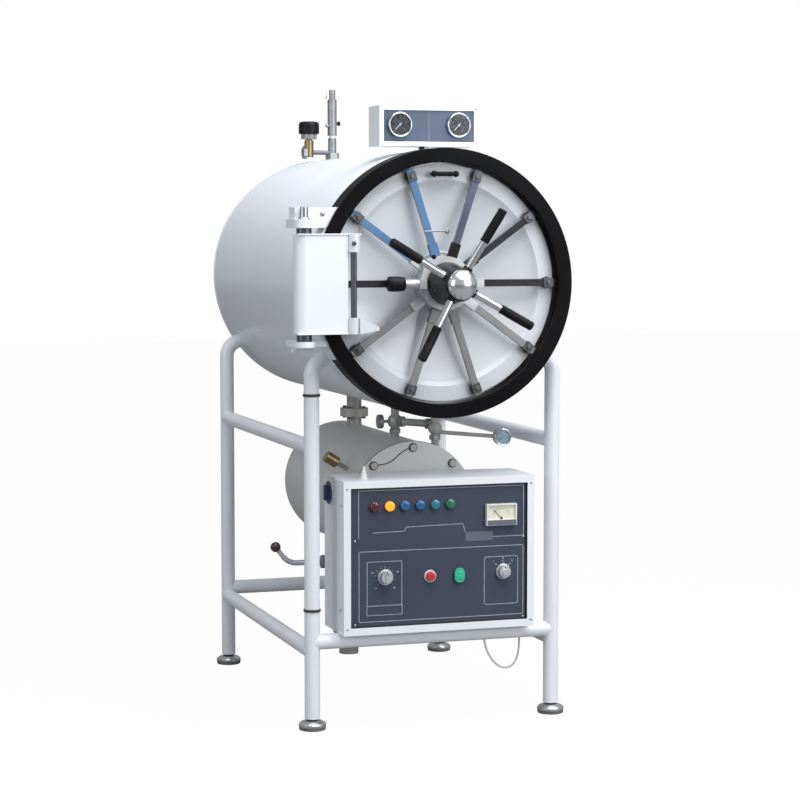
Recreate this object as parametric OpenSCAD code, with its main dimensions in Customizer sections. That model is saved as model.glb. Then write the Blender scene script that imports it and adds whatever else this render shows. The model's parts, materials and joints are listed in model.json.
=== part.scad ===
/* [Frame] */
// Distance between the left and the right legs
leg_span_x = 728; // [700:2:744]
// Distance between the front and the back legs
leg_span_y = 1012; // [980:4:1040]
// Outside diameter of the frame tube
tube_d = 44; // [40:1:46]
// Wall of the frame tube
tube_wall = 3; // [2:0.5:4]
// Radius of the bend at the top of a leg, at the tube's centre
leg_bend_r = 50; // [46:1:56]
// Height of the legs' inward ends, where they meet the barrel
leg_top_z = 1058; // [1040:2:1070]
// Height of the lower side rails
side_rail_z = 224; // [200:2:226]
// Height of the front and back rails
end_rail_z = 251; // [248:1:256]
// Height of the upper side rails
upper_rail_z = 807; // [780:2:830]
// Diameter of a foot pad
pad_d = 77; // [70:1:84]
// Height of a foot pad
pad_h = 14; // [10:1:18]
// Height of the dome above a foot pad
dome_h = 18; // [14:1:22]
// Diameter of the levelling stud inside a leg
stud_d = 16; // [12:1:20]

/* [Barrel] */
// Height of the barrel's axis above the floor
axis_z = 1269; // [1264:1:1276]
// Outside radius of the barrel's cladding
barrel_r = 375; // [372:1:376]
// Thickness of the cladding
skin_t = 2; // [1:0.5:3]
// Back end of the barrel, behind the front legs' plane
barrel_back_y = 1146; // [1130:2:1160]
// Inside radius of the chamber
chamber_r = 300; // [290:1:302]
// Thickness of the chamber's wall
chamber_t = 5; // [4:0.5:6]
// Back end of the chamber's straight part
chamber_back_y = 930; // [900:5:940]
// Depth of the chamber's dished head
head_depth = 90; // [70:5:110]
// Outside radius of the steam jacket
jacket_r = 345; // [335:1:350]
// Thickness of the jacket's wall
jacket_t = 5; // [4:0.5:6]

/* [Locking ring] */
// Outside radius of the locking ring
ring_r = 380; // [378:1:382]
// Front of the locking ring, in front of the front legs' plane
ring_front = 110; // [106:1:114]
// Depth of the locking ring from front to back
ring_depth = 76; // [74:1:80]
// Inside radius of the ring's lip
lip_r = 340; // [339:1:342]
// Thickness of the ring's lip
lip_t = 13; // [12:0.5:14]
// Inside radius of the groove behind the lip
groove_r = 358; // [356:1:360]

/* [Door] */
// Radius of the door plate
door_r = 334; // [332:1:335]
// Thickness of the door's rim
door_rim_t = 26; // [24:1:28]
// Depth of the door's rim behind the ring's front
door_recess = 38; // [37:1:40]
// Radius of the dish in the door
dish_r = 272; // [250:2:280]
// Step from the rim down into the dish
dish_step = 12; // [8:1:14]
// Depth of the dish itself
dish_depth = 20; // [12:1:24]
// Radius of the hub's boss
boss_r = 76; // [75:1:78]
// Front of the boss, in front of the front legs' plane
boss_front = 112; // [111:0.5:113]
// Number of locking arms
arm_count = 10; // [8:1:10]
// Width of a locking arm
arm_w = 20; // [16:1:20]
// Thickness of a locking arm
arm_t = 12; // [10:1:12]
// Travel of a locking arm from free to locked
arm_travel = 16; // [12:1:16]
// Turn of the handwheel from free to locked, in degrees
wheel_turn = 72; // [60:2:72]

/* [Handwheel] */
// Radius of the drum at its back
drum_r = 60; // [56:1:62]
// Radius of the drum at its front
drum_nose_r = 46; // [44:1:48]
// Front of the drum, in front of the front legs' plane
drum_front = 236; // [232:1:240]
// Diameter of a handle's rod
rod_d = 21; // [18:1:22]
// Diameter of a handle's grip
grip_d = 26; // [26:1:30]
// Distance of a grip's outer end from the axis, along the handle
grip_reach = 241; // [230:1:250]
// Length of a grip
grip_len = 105; // [90:1:115]
// Forward lean of the handles, in degrees
handle_lean = 8; // [6:1:9]
// Radius of the cap
cap_r = 41; // [38:1:43]
// Height of the cap
cap_h = 36; // [32:1:44]

/* [Hinge] */
// Distance of the hinge's pin left of the barrel's axis
hinge_x = 418; // [416:1:422]
// Distance of the hinge's pin in front of the front legs' plane
hinge_y = 122; // [120:1:124]
// Diameter of the hinge's pin
pin_d = 24; // [20:1:26]
// Radius of the hinge arm's knuckle round the pin
knuckle_r = 30; // [27:1:31]
// Bottom of the hinge arm
hinge_arm_low = 1133; // [1128:1:1138]
// Top of the hinge arm
hinge_arm_high = 1409; // [1404:1:1414]
// Thickness of the hinge arm's plate
hinge_arm_t = 8; // [6:1:10]
// Diameter of the upright rod between the door's lugs
lug_rod_d = 17; // [14:1:19]

/* [Control cabinet] */
// Width of the cabinet
cabinet_w = 575; // [560:5:590]
// Height of the cabinet
cabinet_h = 440; // [430:5:450]
// Depth of the cabinet
cabinet_d = 196; // [190:1:198]
// Distance of the cabinet's front in front of the front legs' plane
cabinet_front = 60; // [56:1:64]
// Thickness of the cabinet's sheet
sheet_t = 2; // [1:0.5:3]
// Width of the frame round the panel
panel_margin = 21; // [16:1:26]
// Depth of the panel behind the cabinet's front
panel_recess = 9; // [6:1:12]
// Diameter of an indicator lamp
lamp_d = 27; // [22:1:30]
// Distance between indicator lamps
lamp_pitch = 45.5; // [40:0.5:48]

/* [Gauge box] */
// Width of the gauge box
gauge_box_w = 298; // [290:2:310]
// Height of the gauge box
gauge_box_h = 115; // [110:1:120]
// Depth of the gauge box
gauge_box_d = 104; // [95:1:115]
// Diameter of a gauge's bezel
gauge_d = 71; // [64:1:76]
// Distance between the two gauges
gauge_pitch = 177; // [168:1:186]

/* [Boiler] */
// Outside radius of the boiler
boiler_r = 186; // [180:1:188]
// Height of the boiler's axis
boiler_z = 610; // [606:1:618]
// Distance of the boiler's axis left of the barrel's axis
boiler_left = 14; // [0:1:20]
// Front of the boiler's cover, behind the front legs' plane
boiler_front = 148; // [146:1:152]
// Length of the boiler with its cover
boiler_len = 810; // [780:5:825]
// Thickness of the boiler's wall
boiler_t = 6; // [5:0.5:8]
// Outside diameter of the main steam pipe
steam_pipe_d = 47; // [42:1:52]

/* [Hidden] */

$fn = 96;
// Overrun of a cut past the faces that it goes through
cut = 4;
// Gap between pieces that slide past each other
slide_gap = 0.3;
// Radial gap of a shaft that turns in a bore
run_gap = 0.05;
// Steps of a curve that a formula gives
curve_steps = 12;
quarter = 90;
half = 180;
full = 360;

// Feet and legs
foot_z = pad_h + dome_h;
stud_len = 30;
pad_bevel = 2;
pad_seat_r = 34;
dome_lip_h = 3;
dome_neck_r = 14;
dome_mid_r = 24;
dome_mid_h = 12;
leg_stub_share = 0.25;
leg_stub = leg_span_x * leg_stub_share;
leg_x = leg_span_x / 2;
tube_r = tube_d / 2;

// Boiler stands on the front and back rails
stand_w = 60;
stand_t = 14;
stand_bar_h = 24;
stand_inset = 60;
stand_reach = 174;

// Vessel
flange_t = 10;
vessel_mouth_y = ring_depth - ring_front - flange_t;
jacket_front_y = 20;
head_gap = 15;
jacket_back_y = chamber_back_y - 2 * head_gap;
cover_lip = 20;

// Rear pipe ends
port_len = 34;
port_back = 60;
exhaust_d = 27;
exhaust_bore_d = 21;
exhaust_body_d = 35;
exhaust_x = 120;
exhaust_drop = 150;
inlet_d = 21;
inlet_bore_d = 15;
inlet_body_d = 28;
inlet_x = 90;

// Loading rack in the chamber
rack_drop = 170;
rack_t = 3;
rack_w = 460;
rack_front_y = 0;
rack_back_y = chamber_back_y - head_gap;
rack_leg_x = 170;
rack_leg_t = 6;
slot_w = 56;
slot_len = 60;
slot_rows = 9;
slot_columns = 5;

// Ring and door faces, measured back from the ring's front
ring_back_y = ring_depth - ring_front;
lip_back_y = lip_t - ring_front;
rim_y = door_recess - ring_front;
rim_back_y = rim_y + door_rim_t;
rim_land = 20;
rim_inner_r = dish_r + rim_land;
dish_edge_y = rim_y + dish_step;
dish_mid_y = dish_edge_y + dish_depth;
dish_t = 14;
hub_pad_edge = 12;
hub_pad_r = boss_r + hub_pad_edge;
hub_pad_t = 12;
hub_pad_y = dish_mid_y - hub_pad_t;
gasket_in_r = 308;
gasket_out_r = 324;
gasket_depth = 8;
gasket_proud = vessel_mouth_y - rim_back_y - slide_gap;

// Locking arms, in the groove behind the lip
arm_lip_gap = 4;
arm_front_y = lip_back_y + arm_lip_gap;
arm_back_y = arm_front_y + arm_t;
arm_out_r = door_r;
arm_in_r = 34;
arm_pin_d = 4.4;
arm_pin_r = 42;
arm_pin_len = 11;
arm_step = full / arm_count;
pin_gap = 0.3;

// Cam and spindle
cam_gap = 3;
cam_front_y = arm_back_y + cam_gap;
cam_t = 10;
cam_back_y = cam_front_y + cam_t;
cam_edge = 8;
cam_r = arm_pin_r + arm_travel + cam_edge;
cam_steps = 18;
cam_hub_r = 28;
spindle_r = 15;
spindle_proud = 38;
spindle_front = boss_front + spindle_proud;
boss_plate_t = 14;
boss_wall = 8;
ear_left = 66;
ear_rise = 40;
ear_len = 66;
ear_h = 26;
ear_tilt = 12;

// Arm guides on the hub and at the rim
sleeve_wall = 3;
sleeve_len = 42;
guide_in_r = 300;
guide_len = 27;
guide_wall = 3;

// Interlock knob on the hub's left
lock_y = 116;
lock_rod_d = 22;
lock_tip_gap = 4;
lock_tip_r = drum_r + lock_tip_gap;
lock_block_w = 28;
lock_block_out = 84;
lock_grip_d = 43;
lock_grip_in = 126;
lock_grip_len = 49;
lock_grip_bevel = 6;

// Handwheel
drum_gap = 3;
drum_back = boss_front + drum_gap;
drum_belt = 14;
handle_first = 60;
handle_count = 4;
handle_root_r = 30;
handle_root_y = 212;
rod_hold = 12;
cap_belt = 8;
grip_bevel = (grip_d - rod_d) / 4;

// Pull handle on the door
pull_r = 307;
pull_w = 64;
pull_d = 13;
pull_ball_r = 9;
pull_post_d = 9;
pull_standoff = 24;

// Hinge
bracket_low_h = 16;
bracket_high_h = 57;
bracket_knuckle_h = 24;
bracket_gap = 16;
bracket_drop = 20;
bracket_step = 10;
bracket_right = 300;
bracket_back = 40;
bracket_inset = 10;
band_t = 6;
band_inset = 12;
band_half_angle = 33;
collar_r = 21;
lug_x = 284;
lug_y = 150;
lug_h_low = 45;
lug_h_high = 50;
lug_wall = 8;
gusset_x = 216;
gusset_t = 10;

// Gauge box
gauge_box_y = 43;
gauge_box_gap = 13;
gauge_box_z = axis_z + barrel_r + gauge_box_gap;
gauge_panel_margin = 13;
gauge_panel_recess = 3;
gauge_panel_t = 2;
gauge_proud = 9;
gauge_rise = 61;
gauge_cup_d = 62;
gauge_cup_len = 42;
gauge_dial_depth = 5;
gauge_rim = 5;
gauge_post_d = 30;
gauge_post_y = 95;
needle_t = 0.8;
needle_w = 2.4;
needle_len = 20;
needle_tail = 7;
needle_hub_d = 7;
needle_lift = 1;
needle_pin_r = 1.5;
needle_pin_len = 6;

// Cabinet
cabinet_z = end_rail_z + tube_r;
cabinet_back_y = cabinet_d - cabinet_front;
panel_y = panel_recess - cabinet_front;
panel_t = 3;
lamp_side_share = 0.34;
lamp_first_x = -cabinet_w * lamp_side_share;
lamp_drop = 75;
lamp_rise = cabinet_h - lamp_drop;
lamp_proud = 13;
lamp_collar_d = 31;
lamp_collar_t = 3;
lamp_tail_len = 30;
lamp_count = 6;
meter_side_share = 0.3235;
meter_x = cabinet_w * meter_side_share;
meter_w = 92;
meter_h = 62;
meter_t = 14;
meter_frame = 4;
meter_drop = 111;
meter_rise = cabinet_h - meter_drop;
meter_foot_h = 17;
meter_dial_depth = 6;
meter_needle_len = 34;
meter_foot_z = cabinet_z + meter_rise - meter_h / 2 + meter_foot_h;
meter_pin_z = meter_foot_z + needle_hub_d / 2 + slide_gap;
knob_d = 41;
knob_h = 22;
knob_skirt_d = 46;
knob_skirt_h = 4;
knob_wing_w = 10;
knob_gap = 1;
knob_shaft_r = 4;
knob_shaft_len = 16;
knob_rise = 163;
timer_side_share = 0.2835;
timer_x = -cabinet_w * timer_side_share;
selector_side_share = 0.3375;
selector_x = cabinet_w * selector_side_share;
button_rise = 159;
stop_side_share = 0.049;
stop_x = -cabinet_w * stop_side_share;
start_side_share = 0.1025;
start_x = cabinet_w * start_side_share;
button_cap_d = 26;
button_travel = 4;
button_proud = 12;
button_stem_d = 12;
button_stem_len = 14;
switch_y = 84;
switch_w = 60;
switch_drop = 46;
switch_rise = cabinet_h - switch_drop;
switch_plate_t = 3;
switch_grip_w = 14;
switch_grip_len = 44;
switch_grip_t = 16;
gland_d = 13;
gland_len = 8;
gear_plate_t = 2;
gear_w = 76;
gear_h = 90;
gear_d = 70;
gear_pitch = 110;
gear_count = 4;

// Boiler
boiler_x = -boiler_left;
boiler_back = boiler_front + boiler_len;
cover_t = 12;
boiler_head = 60;
boiler_lip = 4;
cover_bolt_count = 8;
cover_bolt_d = 22;
cover_bolt_h = 9;
cover_bolt_inset = 14;
heater_d = 12;
heater_len = 560;
heater_gap = 60;
heater_pitch = 90;
heater_drop = 60;
steam_pipe_y = 745;
pipe_flange_d = 89;
pipe_flange_t = 13;
pipe_flange_z = 839;
feed_pipe_d = 25;
feed_pipe_y = 320;
valve_room = axis_z - barrel_r - boiler_z - boiler_r;
valve_body_share = 0.235;
valve_body_r = valve_room * valve_body_share;
valve_z = boiler_z + boiler_r + valve_room / 2;
valve_knob_share = 0.43;
valve_knob_d = valve_room * valve_knob_share;
valve_knob_t = 14;
valve_stem_d = 9;
valve_stem_len = 34;
riser_x = 68;
riser_y = 190;
riser_d = 22;
tee_drop = 11;
tee_z = valve_z - tee_drop;
tee_r = 21;
dial_x = 236;
dial_y = 75;
dial_z = 813;
dial_d = 50;
dial_t = 22;
dial_pipe_d = 12;
brass_angle = 148;
brass_y = 300;
brass_d = 34;
brass_len = 40;
brass_stem_d = 14;
brass_stem_len = 36;
pot_x = -228;
pot_y = 92;
pot_d = 56;
pot_bore_d = 30;
pot_low = 196;
pot_gap = 3;
pot_h = cabinet_z - pot_gap - pot_low;
pot_bore_len = 41;
pot_joint_z = pot_low + 2 / 3 * pot_h;
drain_pipe_d = 26;
drain_joint_r = 16;
drain_y = 200;
drain_z = 449;
drain_body_r = 19;
drain_body_x = -300;
drain_stem_x = -326;
lever_d = 16;
lever_tail_d = 14;
lever_bend_r = 52;
lever_bend = 52;
lever_run = 28;
lever_tail = 27;
lever_ball_d = 30;
lever_hub_d = 24;

// Valves on the barrel's top
top_y = 1036;
barrel_top_z = axis_z + barrel_r;
safety_d = 30;
safety_neck_d = 21;
safety_base_d = 27;
safety_nut_d = 46;
safety_nut_h = 22;
safety_gap = 8;
safety_waist_z = 1714;
safety_cap_z = 1839;
safety_top_z = 1871;
vent_x = 79;
vent_d = 30;
vent_low = 8;
vent_h = 62;
vent_neck_d = 22;
vent_neck_h = 4;
vent_stem_len = 24;
vent_knob_d = 67;
vent_knob_h = 40;
vent_knob_neck_d = 52;
vent_knob_neck_h = 17;
vent_branch_d = 14;
vent_branch_z = barrel_top_z + vent_low + vent_d / 2;
vent_nut_d = 42;
vent_nut_t = 12;
lift_pin_d = 4;
lift_pin_z = 1846;
lift_pin_out = 6;
lift_pin_x = -safety_neck_d / 2 - lift_pin_out;
lift_lug_w = 6;
lift_lug_wall = 2;
lift_w = 7;
lift_t = 3;
lift_len = 26;
lift_foot = 3;

// White tube that hangs in a loop under the cabinet, its route measured from its first gland
loop_d = 6;
loop_sides = 8;
loop_inset = 119.5;
loop_y = 40;
loop_start = [cabinet_w / 2 - loop_inset, loop_y, cabinet_z - gland_len];
loop_route = [
    [0, 0, 0], [0, 0, -15], [1, 0, -30], [3, 0, -46], [6, 0, -62], [11, 0, -77], [18, 0, -91],
    [27, 0, -105], [38, 0, -117], [51, 0, -127], [66, 0, -132], [81, 0, -131], [94, 0, -123],
    [103, 0, -110], [108, 0, -95], [111, 0, -79], [112, 0, -63], [112, 0, -47], [111, 0, -31],
    [110, 0, -15], [110, 0, 0]
];

// Extents of the whole machine, which set its origin
reach_left = hinge_x + knuckle_r;
reach_right = leg_span_x / 2 + pad_d / 2;
handle_front = handle_root_y + grip_reach * sin(handle_lean) + grip_d / 2 * cos(handle_lean);
reach_front = max(handle_front, drum_front + cap_h);
reach_back = barrel_back_y + port_len;
mid_x = (reach_right - reach_left) / 2;
mid_y = (reach_back - reach_front) / 2;

module centred() translate([-mid_x, -mid_y, 0]) children();

module along_y() rotate([-quarter, 0, 0]) children();

// Turns what is drawn along Z to run backwards round the barrel's axis
module on_axis() translate([0, 0, axis_z]) along_y() children();

// Turns what is drawn along X to point from the barrel's axis at an angle, seen from the front
module spoke(angle) translate([0, 0, axis_z]) rotate([0, -angle, 0]) children();

module pipe(length, outer_r, inner_r) {
    difference() {
        cylinder(h = length, r = outer_r);
        translate([0, 0, -cut]) cylinder(h = length + 2 * cut, r = inner_r);
    }
}

module rod_between(a, b, radius) {
    run = b - a;
    translate(a) rotate([0, acos(run.z / norm(run)), atan2(run.y, run.x)])
        cylinder(h = norm(run), r = radius);
}

module barrel_solid() on_axis() translate([0, 0, ring_back_y])
    cylinder(h = barrel_back_y - ring_back_y, r = barrel_r);

module boiler_solid() translate([boiler_x, boiler_front, boiler_z]) along_y()
    cylinder(h = boiler_len, r = boiler_r);

module leg_cores() {
    for (x = [-leg_x, leg_x], y = [0, leg_span_y])
        translate([x, y, foot_z]) cylinder(h = leg_top_z - leg_bend_r - foot_z, r = tube_r);
}

// One leg at the right-hand side, bent inward at its top
module leg() {
    translate([leg_x, 0, foot_z]) pipe(leg_top_z - leg_bend_r - foot_z, tube_r, tube_r - tube_wall);
    translate([leg_x - leg_bend_r, 0, leg_top_z - leg_bend_r]) rotate([quarter, 0, 0])
        rotate_extrude(angle = quarter) translate([leg_bend_r, 0]) difference() {
            circle(r = tube_r);
            circle(r = tube_r - tube_wall);
        }
    translate([leg_x - leg_bend_r, 0, leg_top_z]) rotate([0, -quarter, 0])
        pipe(leg_stub, tube_r, tube_r - tube_wall);
}

module frame_legs() color("gainsboro") centred() difference() {
    for (side = [0, 1], y = [0, leg_span_y]) mirror([side, 0, 0]) translate([0, y, 0]) leg();
    barrel_solid();
}

module side_rail(z) {
    for (x = [-leg_x, leg_x]) translate([x, 0, z]) along_y() pipe(leg_span_y, tube_r, tube_r - tube_wall);
}

module end_rail_cores(radius) {
    for (y = [0, leg_span_y]) translate([-leg_x, y, end_rail_z]) rotate([0, quarter, 0])
        cylinder(h = leg_span_x, r = radius);
}

// A foot bar off a rail with an upright plate that carries one end of the boiler
module boiler_stand(bar_from, bar_to, plate_y) {
    translate([boiler_x - stand_w / 2, bar_from, end_rail_z - stand_bar_h / 2])
        cube([stand_w, bar_to - bar_from, stand_bar_h]);
    translate([boiler_x - stand_w, plate_y, end_rail_z - stand_bar_h / 2])
        cube([2 * stand_w, stand_t, boiler_z - end_rail_z]);
}

module frame_rails() color("gainsboro") centred() {
    difference() {
        union() {
            side_rail(side_rail_z);
            side_rail(upper_rail_z);
        }
        leg_cores();
        end_rail_cores(tube_r + slide_gap);
    }
    difference() {
        for (y = [0, leg_span_y]) translate([-leg_x, y, end_rail_z]) rotate([0, quarter, 0])
            pipe(leg_span_x, tube_r, tube_r - tube_wall);
        leg_cores();
    }
    difference() {
        union() {
            boiler_stand(0, boiler_front + stand_inset + stand_t, boiler_front + stand_inset);
            boiler_stand(leg_span_y - stand_reach, leg_span_y, leg_span_y - stand_reach);
        }
        boiler_solid();
        end_rail_cores(tube_r);
    }
}

module foot_domes() color("silver") centred() {
    for (x = [-leg_x, leg_x], y = [0, leg_span_y]) translate([x, y, pad_h]) rotate_extrude() polygon([
        [0, 0], [pad_d / 2, 0], [pad_d / 2, dome_lip_h], [dome_mid_r, dome_mid_h], [dome_neck_r, dome_h],
        [stud_d / 2, dome_h], [stud_d / 2, dome_h + stud_len], [0, dome_h + stud_len]
    ]);
}

module foot_pads() color("dimgray") centred() {
    for (x = [-leg_x, leg_x], y = [0, leg_span_y]) translate([x, y, 0]) rotate_extrude() polygon([
        [0, 0], [pad_seat_r, 0], [pad_d / 2, pad_bevel], [pad_d / 2, pad_h], [0, pad_h]
    ]);
}

module barrel_skin() color("white") centred()
    on_axis() translate([0, 0, ring_back_y])
        pipe(barrel_back_y - skin_t - ring_back_y, barrel_r, barrel_r - skin_t);

module rear_cover() color("white") centred() difference() {
    on_axis() translate([0, 0, barrel_back_y - skin_t]) {
        cylinder(h = skin_t, r = barrel_r);
        translate([0, 0, -cover_lip]) pipe(cover_lip, barrel_r - skin_t, barrel_r - 2 * skin_t);
    }
    translate([exhaust_x, 0, axis_z - exhaust_drop]) along_y()
        cylinder(h = barrel_back_y + cut, r = exhaust_body_d / 2);
}

module insulation() color("khaki") centred()
    on_axis() translate([0, 0, ring_back_y])
        pipe(barrel_back_y - skin_t - cover_lip - ring_back_y, barrel_r - skin_t, jacket_r);

// Points of a dished head's curve, from its edge to its middle
function dish_curve(radius, base, depth) = [
    for (i = [0:curve_steps])
        [radius * cos(quarter * i / curve_steps), base + depth * sin(quarter * i / curve_steps)]
];

function reversed(list) = [for (i = [len(list) - 1:-1:0]) list[i]];

module pressure_vessel() color("silver") centred() {
    on_axis() rotate_extrude() polygon(concat(
        [[chamber_r, vessel_mouth_y], [groove_r, vessel_mouth_y], [groove_r, ring_back_y],
         [chamber_r + chamber_t, ring_back_y]],
        dish_curve(chamber_r + chamber_t, chamber_back_y, head_depth + chamber_t),
        reversed(dish_curve(chamber_r, chamber_back_y, head_depth))
    ));
    on_axis() rotate_extrude() polygon([
        [chamber_r + chamber_t, jacket_front_y], [jacket_r, jacket_front_y], [jacket_r, jacket_back_y],
        [chamber_r + chamber_t, jacket_back_y], [chamber_r + chamber_t, jacket_back_y - jacket_t],
        [jacket_r - jacket_t, jacket_back_y - jacket_t], [jacket_r - jacket_t, jacket_front_y + jacket_t],
        [chamber_r + chamber_t, jacket_front_y + jacket_t]
    ]);
}

module locking_ring() color("black") centred() on_axis() rotate_extrude() polygon([
    [lip_r, -ring_front], [ring_r, -ring_front], [ring_r, ring_back_y], [groove_r, ring_back_y],
    [groove_r, lip_back_y], [lip_r, lip_back_y]
]);

module chamber_rack() color("silver") centred() {
    shelf_z = axis_z - rack_drop;
    pitch_x = rack_w / slot_columns;
    pitch_y = (rack_back_y - rack_front_y) / slot_rows;
    difference() {
        translate([-rack_w / 2, rack_front_y, shelf_z]) cube([rack_w, rack_back_y - rack_front_y, rack_t]);
        for (i = [0:slot_columns - 1], j = [0:slot_rows - 1])
            translate([
                (i + 1 / 2) * pitch_x - rack_w / 2 - slot_w / 2,
                rack_front_y + (j + 1 / 2) * pitch_y - slot_len / 2, shelf_z - cut
            ]) cube([slot_w, slot_len, rack_t + 2 * cut]);
    }
    intersection() {
        for (x = [-rack_leg_x, rack_leg_x])
            translate([x - rack_leg_t / 2, rack_front_y, axis_z - chamber_r])
                cube([rack_leg_t, rack_back_y - rack_front_y, chamber_r - rack_drop]);
        on_axis() translate([0, 0, rack_front_y - cut]) cylinder(h = rack_back_y + cut, r = chamber_r);
    }
}

// A block on the ring's side that holds one end of the hinge's pin, with a plate behind it
module hinge_block(low, height, knuckle_h) translate([-hinge_x, -hinge_y, low]) {
    cylinder(h = knuckle_h, r = knuckle_r);
    translate([-knuckle_r, 0, 0]) cube([2 * knuckle_r, hinge_y - bracket_back, knuckle_h]);
    translate([bracket_step - knuckle_r, hinge_y - ring_front + bracket_inset, 0])
        cube([
            hinge_x + knuckle_r - bracket_step - bracket_right,
            ring_front - bracket_inset - bracket_back, height
        ]);
}

module hinge_bracket() color("white") centred() {
    low = hinge_arm_low - bracket_drop - bracket_low_h;
    high = hinge_arm_high + bracket_gap + bracket_high_h;
    difference() {
        union() {
            hinge_block(high - bracket_high_h, bracket_high_h, bracket_knuckle_h);
            hinge_block(low, bracket_low_h, bracket_low_h);
            spoke(half - band_half_angle) rotate([quarter, 0, 0]) translate([0, 0, -ring_back_y])
                rotate_extrude(angle = 2 * band_half_angle)
                    translate([ring_r - band_t, 0]) square([2 * band_t, ring_depth - band_inset]);
        }
        on_axis() translate([0, 0, -ring_front - 2 * knuckle_r])
            cylinder(h = ring_front + ring_depth, r = ring_r);
        translate([-hinge_x, -hinge_y, low - cut]) cylinder(h = high - low + 2 * cut, r = pin_d / 2);
    }
}

module hinge_pin() color("dimgray") centred() translate([-hinge_x, -hinge_y, 0]) {
    low = hinge_arm_low - bracket_drop - bracket_low_h;
    translate([0, 0, low]) cylinder(h = hinge_arm_high + bracket_gap + bracket_high_h - low, r = pin_d / 2);
    translate([0, 0, hinge_arm_high + slide_gap]) cylinder(h = bracket_gap - slide_gap, r = collar_r);
    translate([0, 0, hinge_arm_low - bracket_drop]) cylinder(h = bracket_drop - slide_gap, r = collar_r);
}

// Curve of the dish, from the middle outward
function dish_line(mid, edge) =
    [for (i = [0:curve_steps]) [dish_r * i / curve_steps, mid + (edge - mid) * pow(i / curve_steps, 2)]];

// A lug on the door's rim that holds one end of the upright rod
module door_lug(low, height) {
    reach = lug_rod_d / 2 + lug_wall;
    translate([-lug_x, -lug_y, low]) difference() {
        union() {
            cylinder(h = height, r = reach);
            translate([-reach, 0, 0]) cube([2 * reach, lug_y + dish_edge_y, height]);
        }
        translate([0, 0, -cut]) cylinder(h = height + 2 * cut, r = lug_rod_d / 2);
    }
}

module door_plate() color("white") centred() {
    on_axis() rotate_extrude() polygon(concat(
        dish_line(dish_mid_y, dish_edge_y),
        [[rim_inner_r, rim_y], [door_r, rim_y], [door_r, rim_back_y],
         [gasket_out_r, rim_back_y], [gasket_out_r, rim_back_y - gasket_depth],
         [gasket_in_r, rim_back_y - gasket_depth], [gasket_in_r, rim_back_y], [rim_inner_r, rim_back_y]],
        reversed(dish_line(dish_mid_y + dish_t, dish_edge_y + dish_t))
    ));
    on_axis() translate([0, 0, hub_pad_y]) cylinder(h = dish_mid_y + dish_t / 2 - hub_pad_y, r = hub_pad_r);
    door_lug(hinge_arm_high - lug_h_high, lug_h_high);
    door_lug(hinge_arm_low, lug_h_low);
    gusset_in = lug_rod_d / 2 + lug_wall / 2;
    gusset_out = lug_x - gusset_x;
    translate([-lug_x, dish_edge_y, hinge_arm_low]) rotate([quarter, 0, 0])
        linear_extrude(gusset_t - dish_edge_y - dish_mid_y)
            polygon([
                [gusset_in, 0], [gusset_out, gusset_t], [gusset_out, 2 * gusset_t], [gusset_in, lug_h_low]
            ]);
}

module door_gasket() color("dimgray") centred() on_axis() translate([0, 0, rim_back_y - gasket_depth])
    pipe(gasket_depth + gasket_proud, gasket_out_r, gasket_in_r);

module arm_slot(clear) {
    for (i = [0:arm_count - 1]) spoke(i * arm_step)
        translate([arm_in_r, arm_front_y - clear, -arm_w / 2 - clear])
            cube([arm_out_r, arm_t + 2 * clear, arm_w + 2 * clear]);
}

module hub_boss() color("white") centred() difference() {
    union() {
        on_axis() translate([0, 0, -boss_front]) cylinder(h = boss_front + hub_pad_y, r = boss_r);
        translate([-ear_left, -boss_front, axis_z + ear_rise]) rotate([0, -ear_tilt, 0])
            cube([ear_len, boss_plate_t, ear_h]);
        translate([-lock_block_out, -lock_y - lock_block_w / 2, axis_z - lock_block_w / 2])
            cube([
                lock_block_out - lock_tip_r, lock_block_w / 2 + lock_y + arm_front_y - sleeve_wall,
                lock_block_w
            ]);
    }
    on_axis() translate([0, 0, boss_plate_t - boss_front])
        cylinder(h = boss_front - boss_plate_t + hub_pad_y + cut, r = boss_r - boss_wall);
    on_axis() translate([0, 0, -boss_front - cut])
        cylinder(h = boss_plate_t + 2 * cut, r = spindle_r + run_gap);
    translate([-boss_front, -lock_y, axis_z]) rotate([0, quarter, 0])
        cylinder(h = boss_front - lock_tip_r + cut, r = lock_rod_d / 2 + run_gap);
    arm_slot(slide_gap);
}

module arm_guides() color("silver") centred() difference() {
    for (i = [0:arm_count - 1]) spoke(i * arm_step) {
        translate([boss_r - sleeve_wall, arm_front_y - sleeve_wall, -arm_w / 2 - sleeve_wall])
            cube([sleeve_len + sleeve_wall, arm_t + 2 * sleeve_wall, arm_w + 2 * sleeve_wall]);
        translate([guide_in_r, arm_front_y - guide_wall, -arm_w / 2 - guide_wall])
            cube([guide_len, rim_y - arm_front_y + guide_wall, arm_w + 2 * guide_wall]);
    }
    arm_slot(slide_gap);
    on_axis() translate([0, 0, -boss_front]) cylinder(h = boss_front + hub_pad_y, r = boss_r);
}

module lug_rod() color("dimgray") centred() translate([-lug_x, -lug_y, hinge_arm_low])
    cylinder(h = hinge_arm_high - hinge_arm_low, r = lug_rod_d / 2);

module hinge_arm() color("white") centred() translate([-hinge_x, -hinge_y, hinge_arm_low]) {
    height = hinge_arm_high - hinge_arm_low;
    plate_w = hinge_x - lug_x - lug_rod_d / 2 - lug_wall;
    difference() {
        union() {
            cylinder(h = height, r = knuckle_r);
            translate([0, -knuckle_r, 0]) cube([plate_w, hinge_arm_t, height]);
        }
        translate([0, 0, -cut]) cylinder(h = height + 2 * cut, r = pin_d / 2 + run_gap);
    }
}

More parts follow.
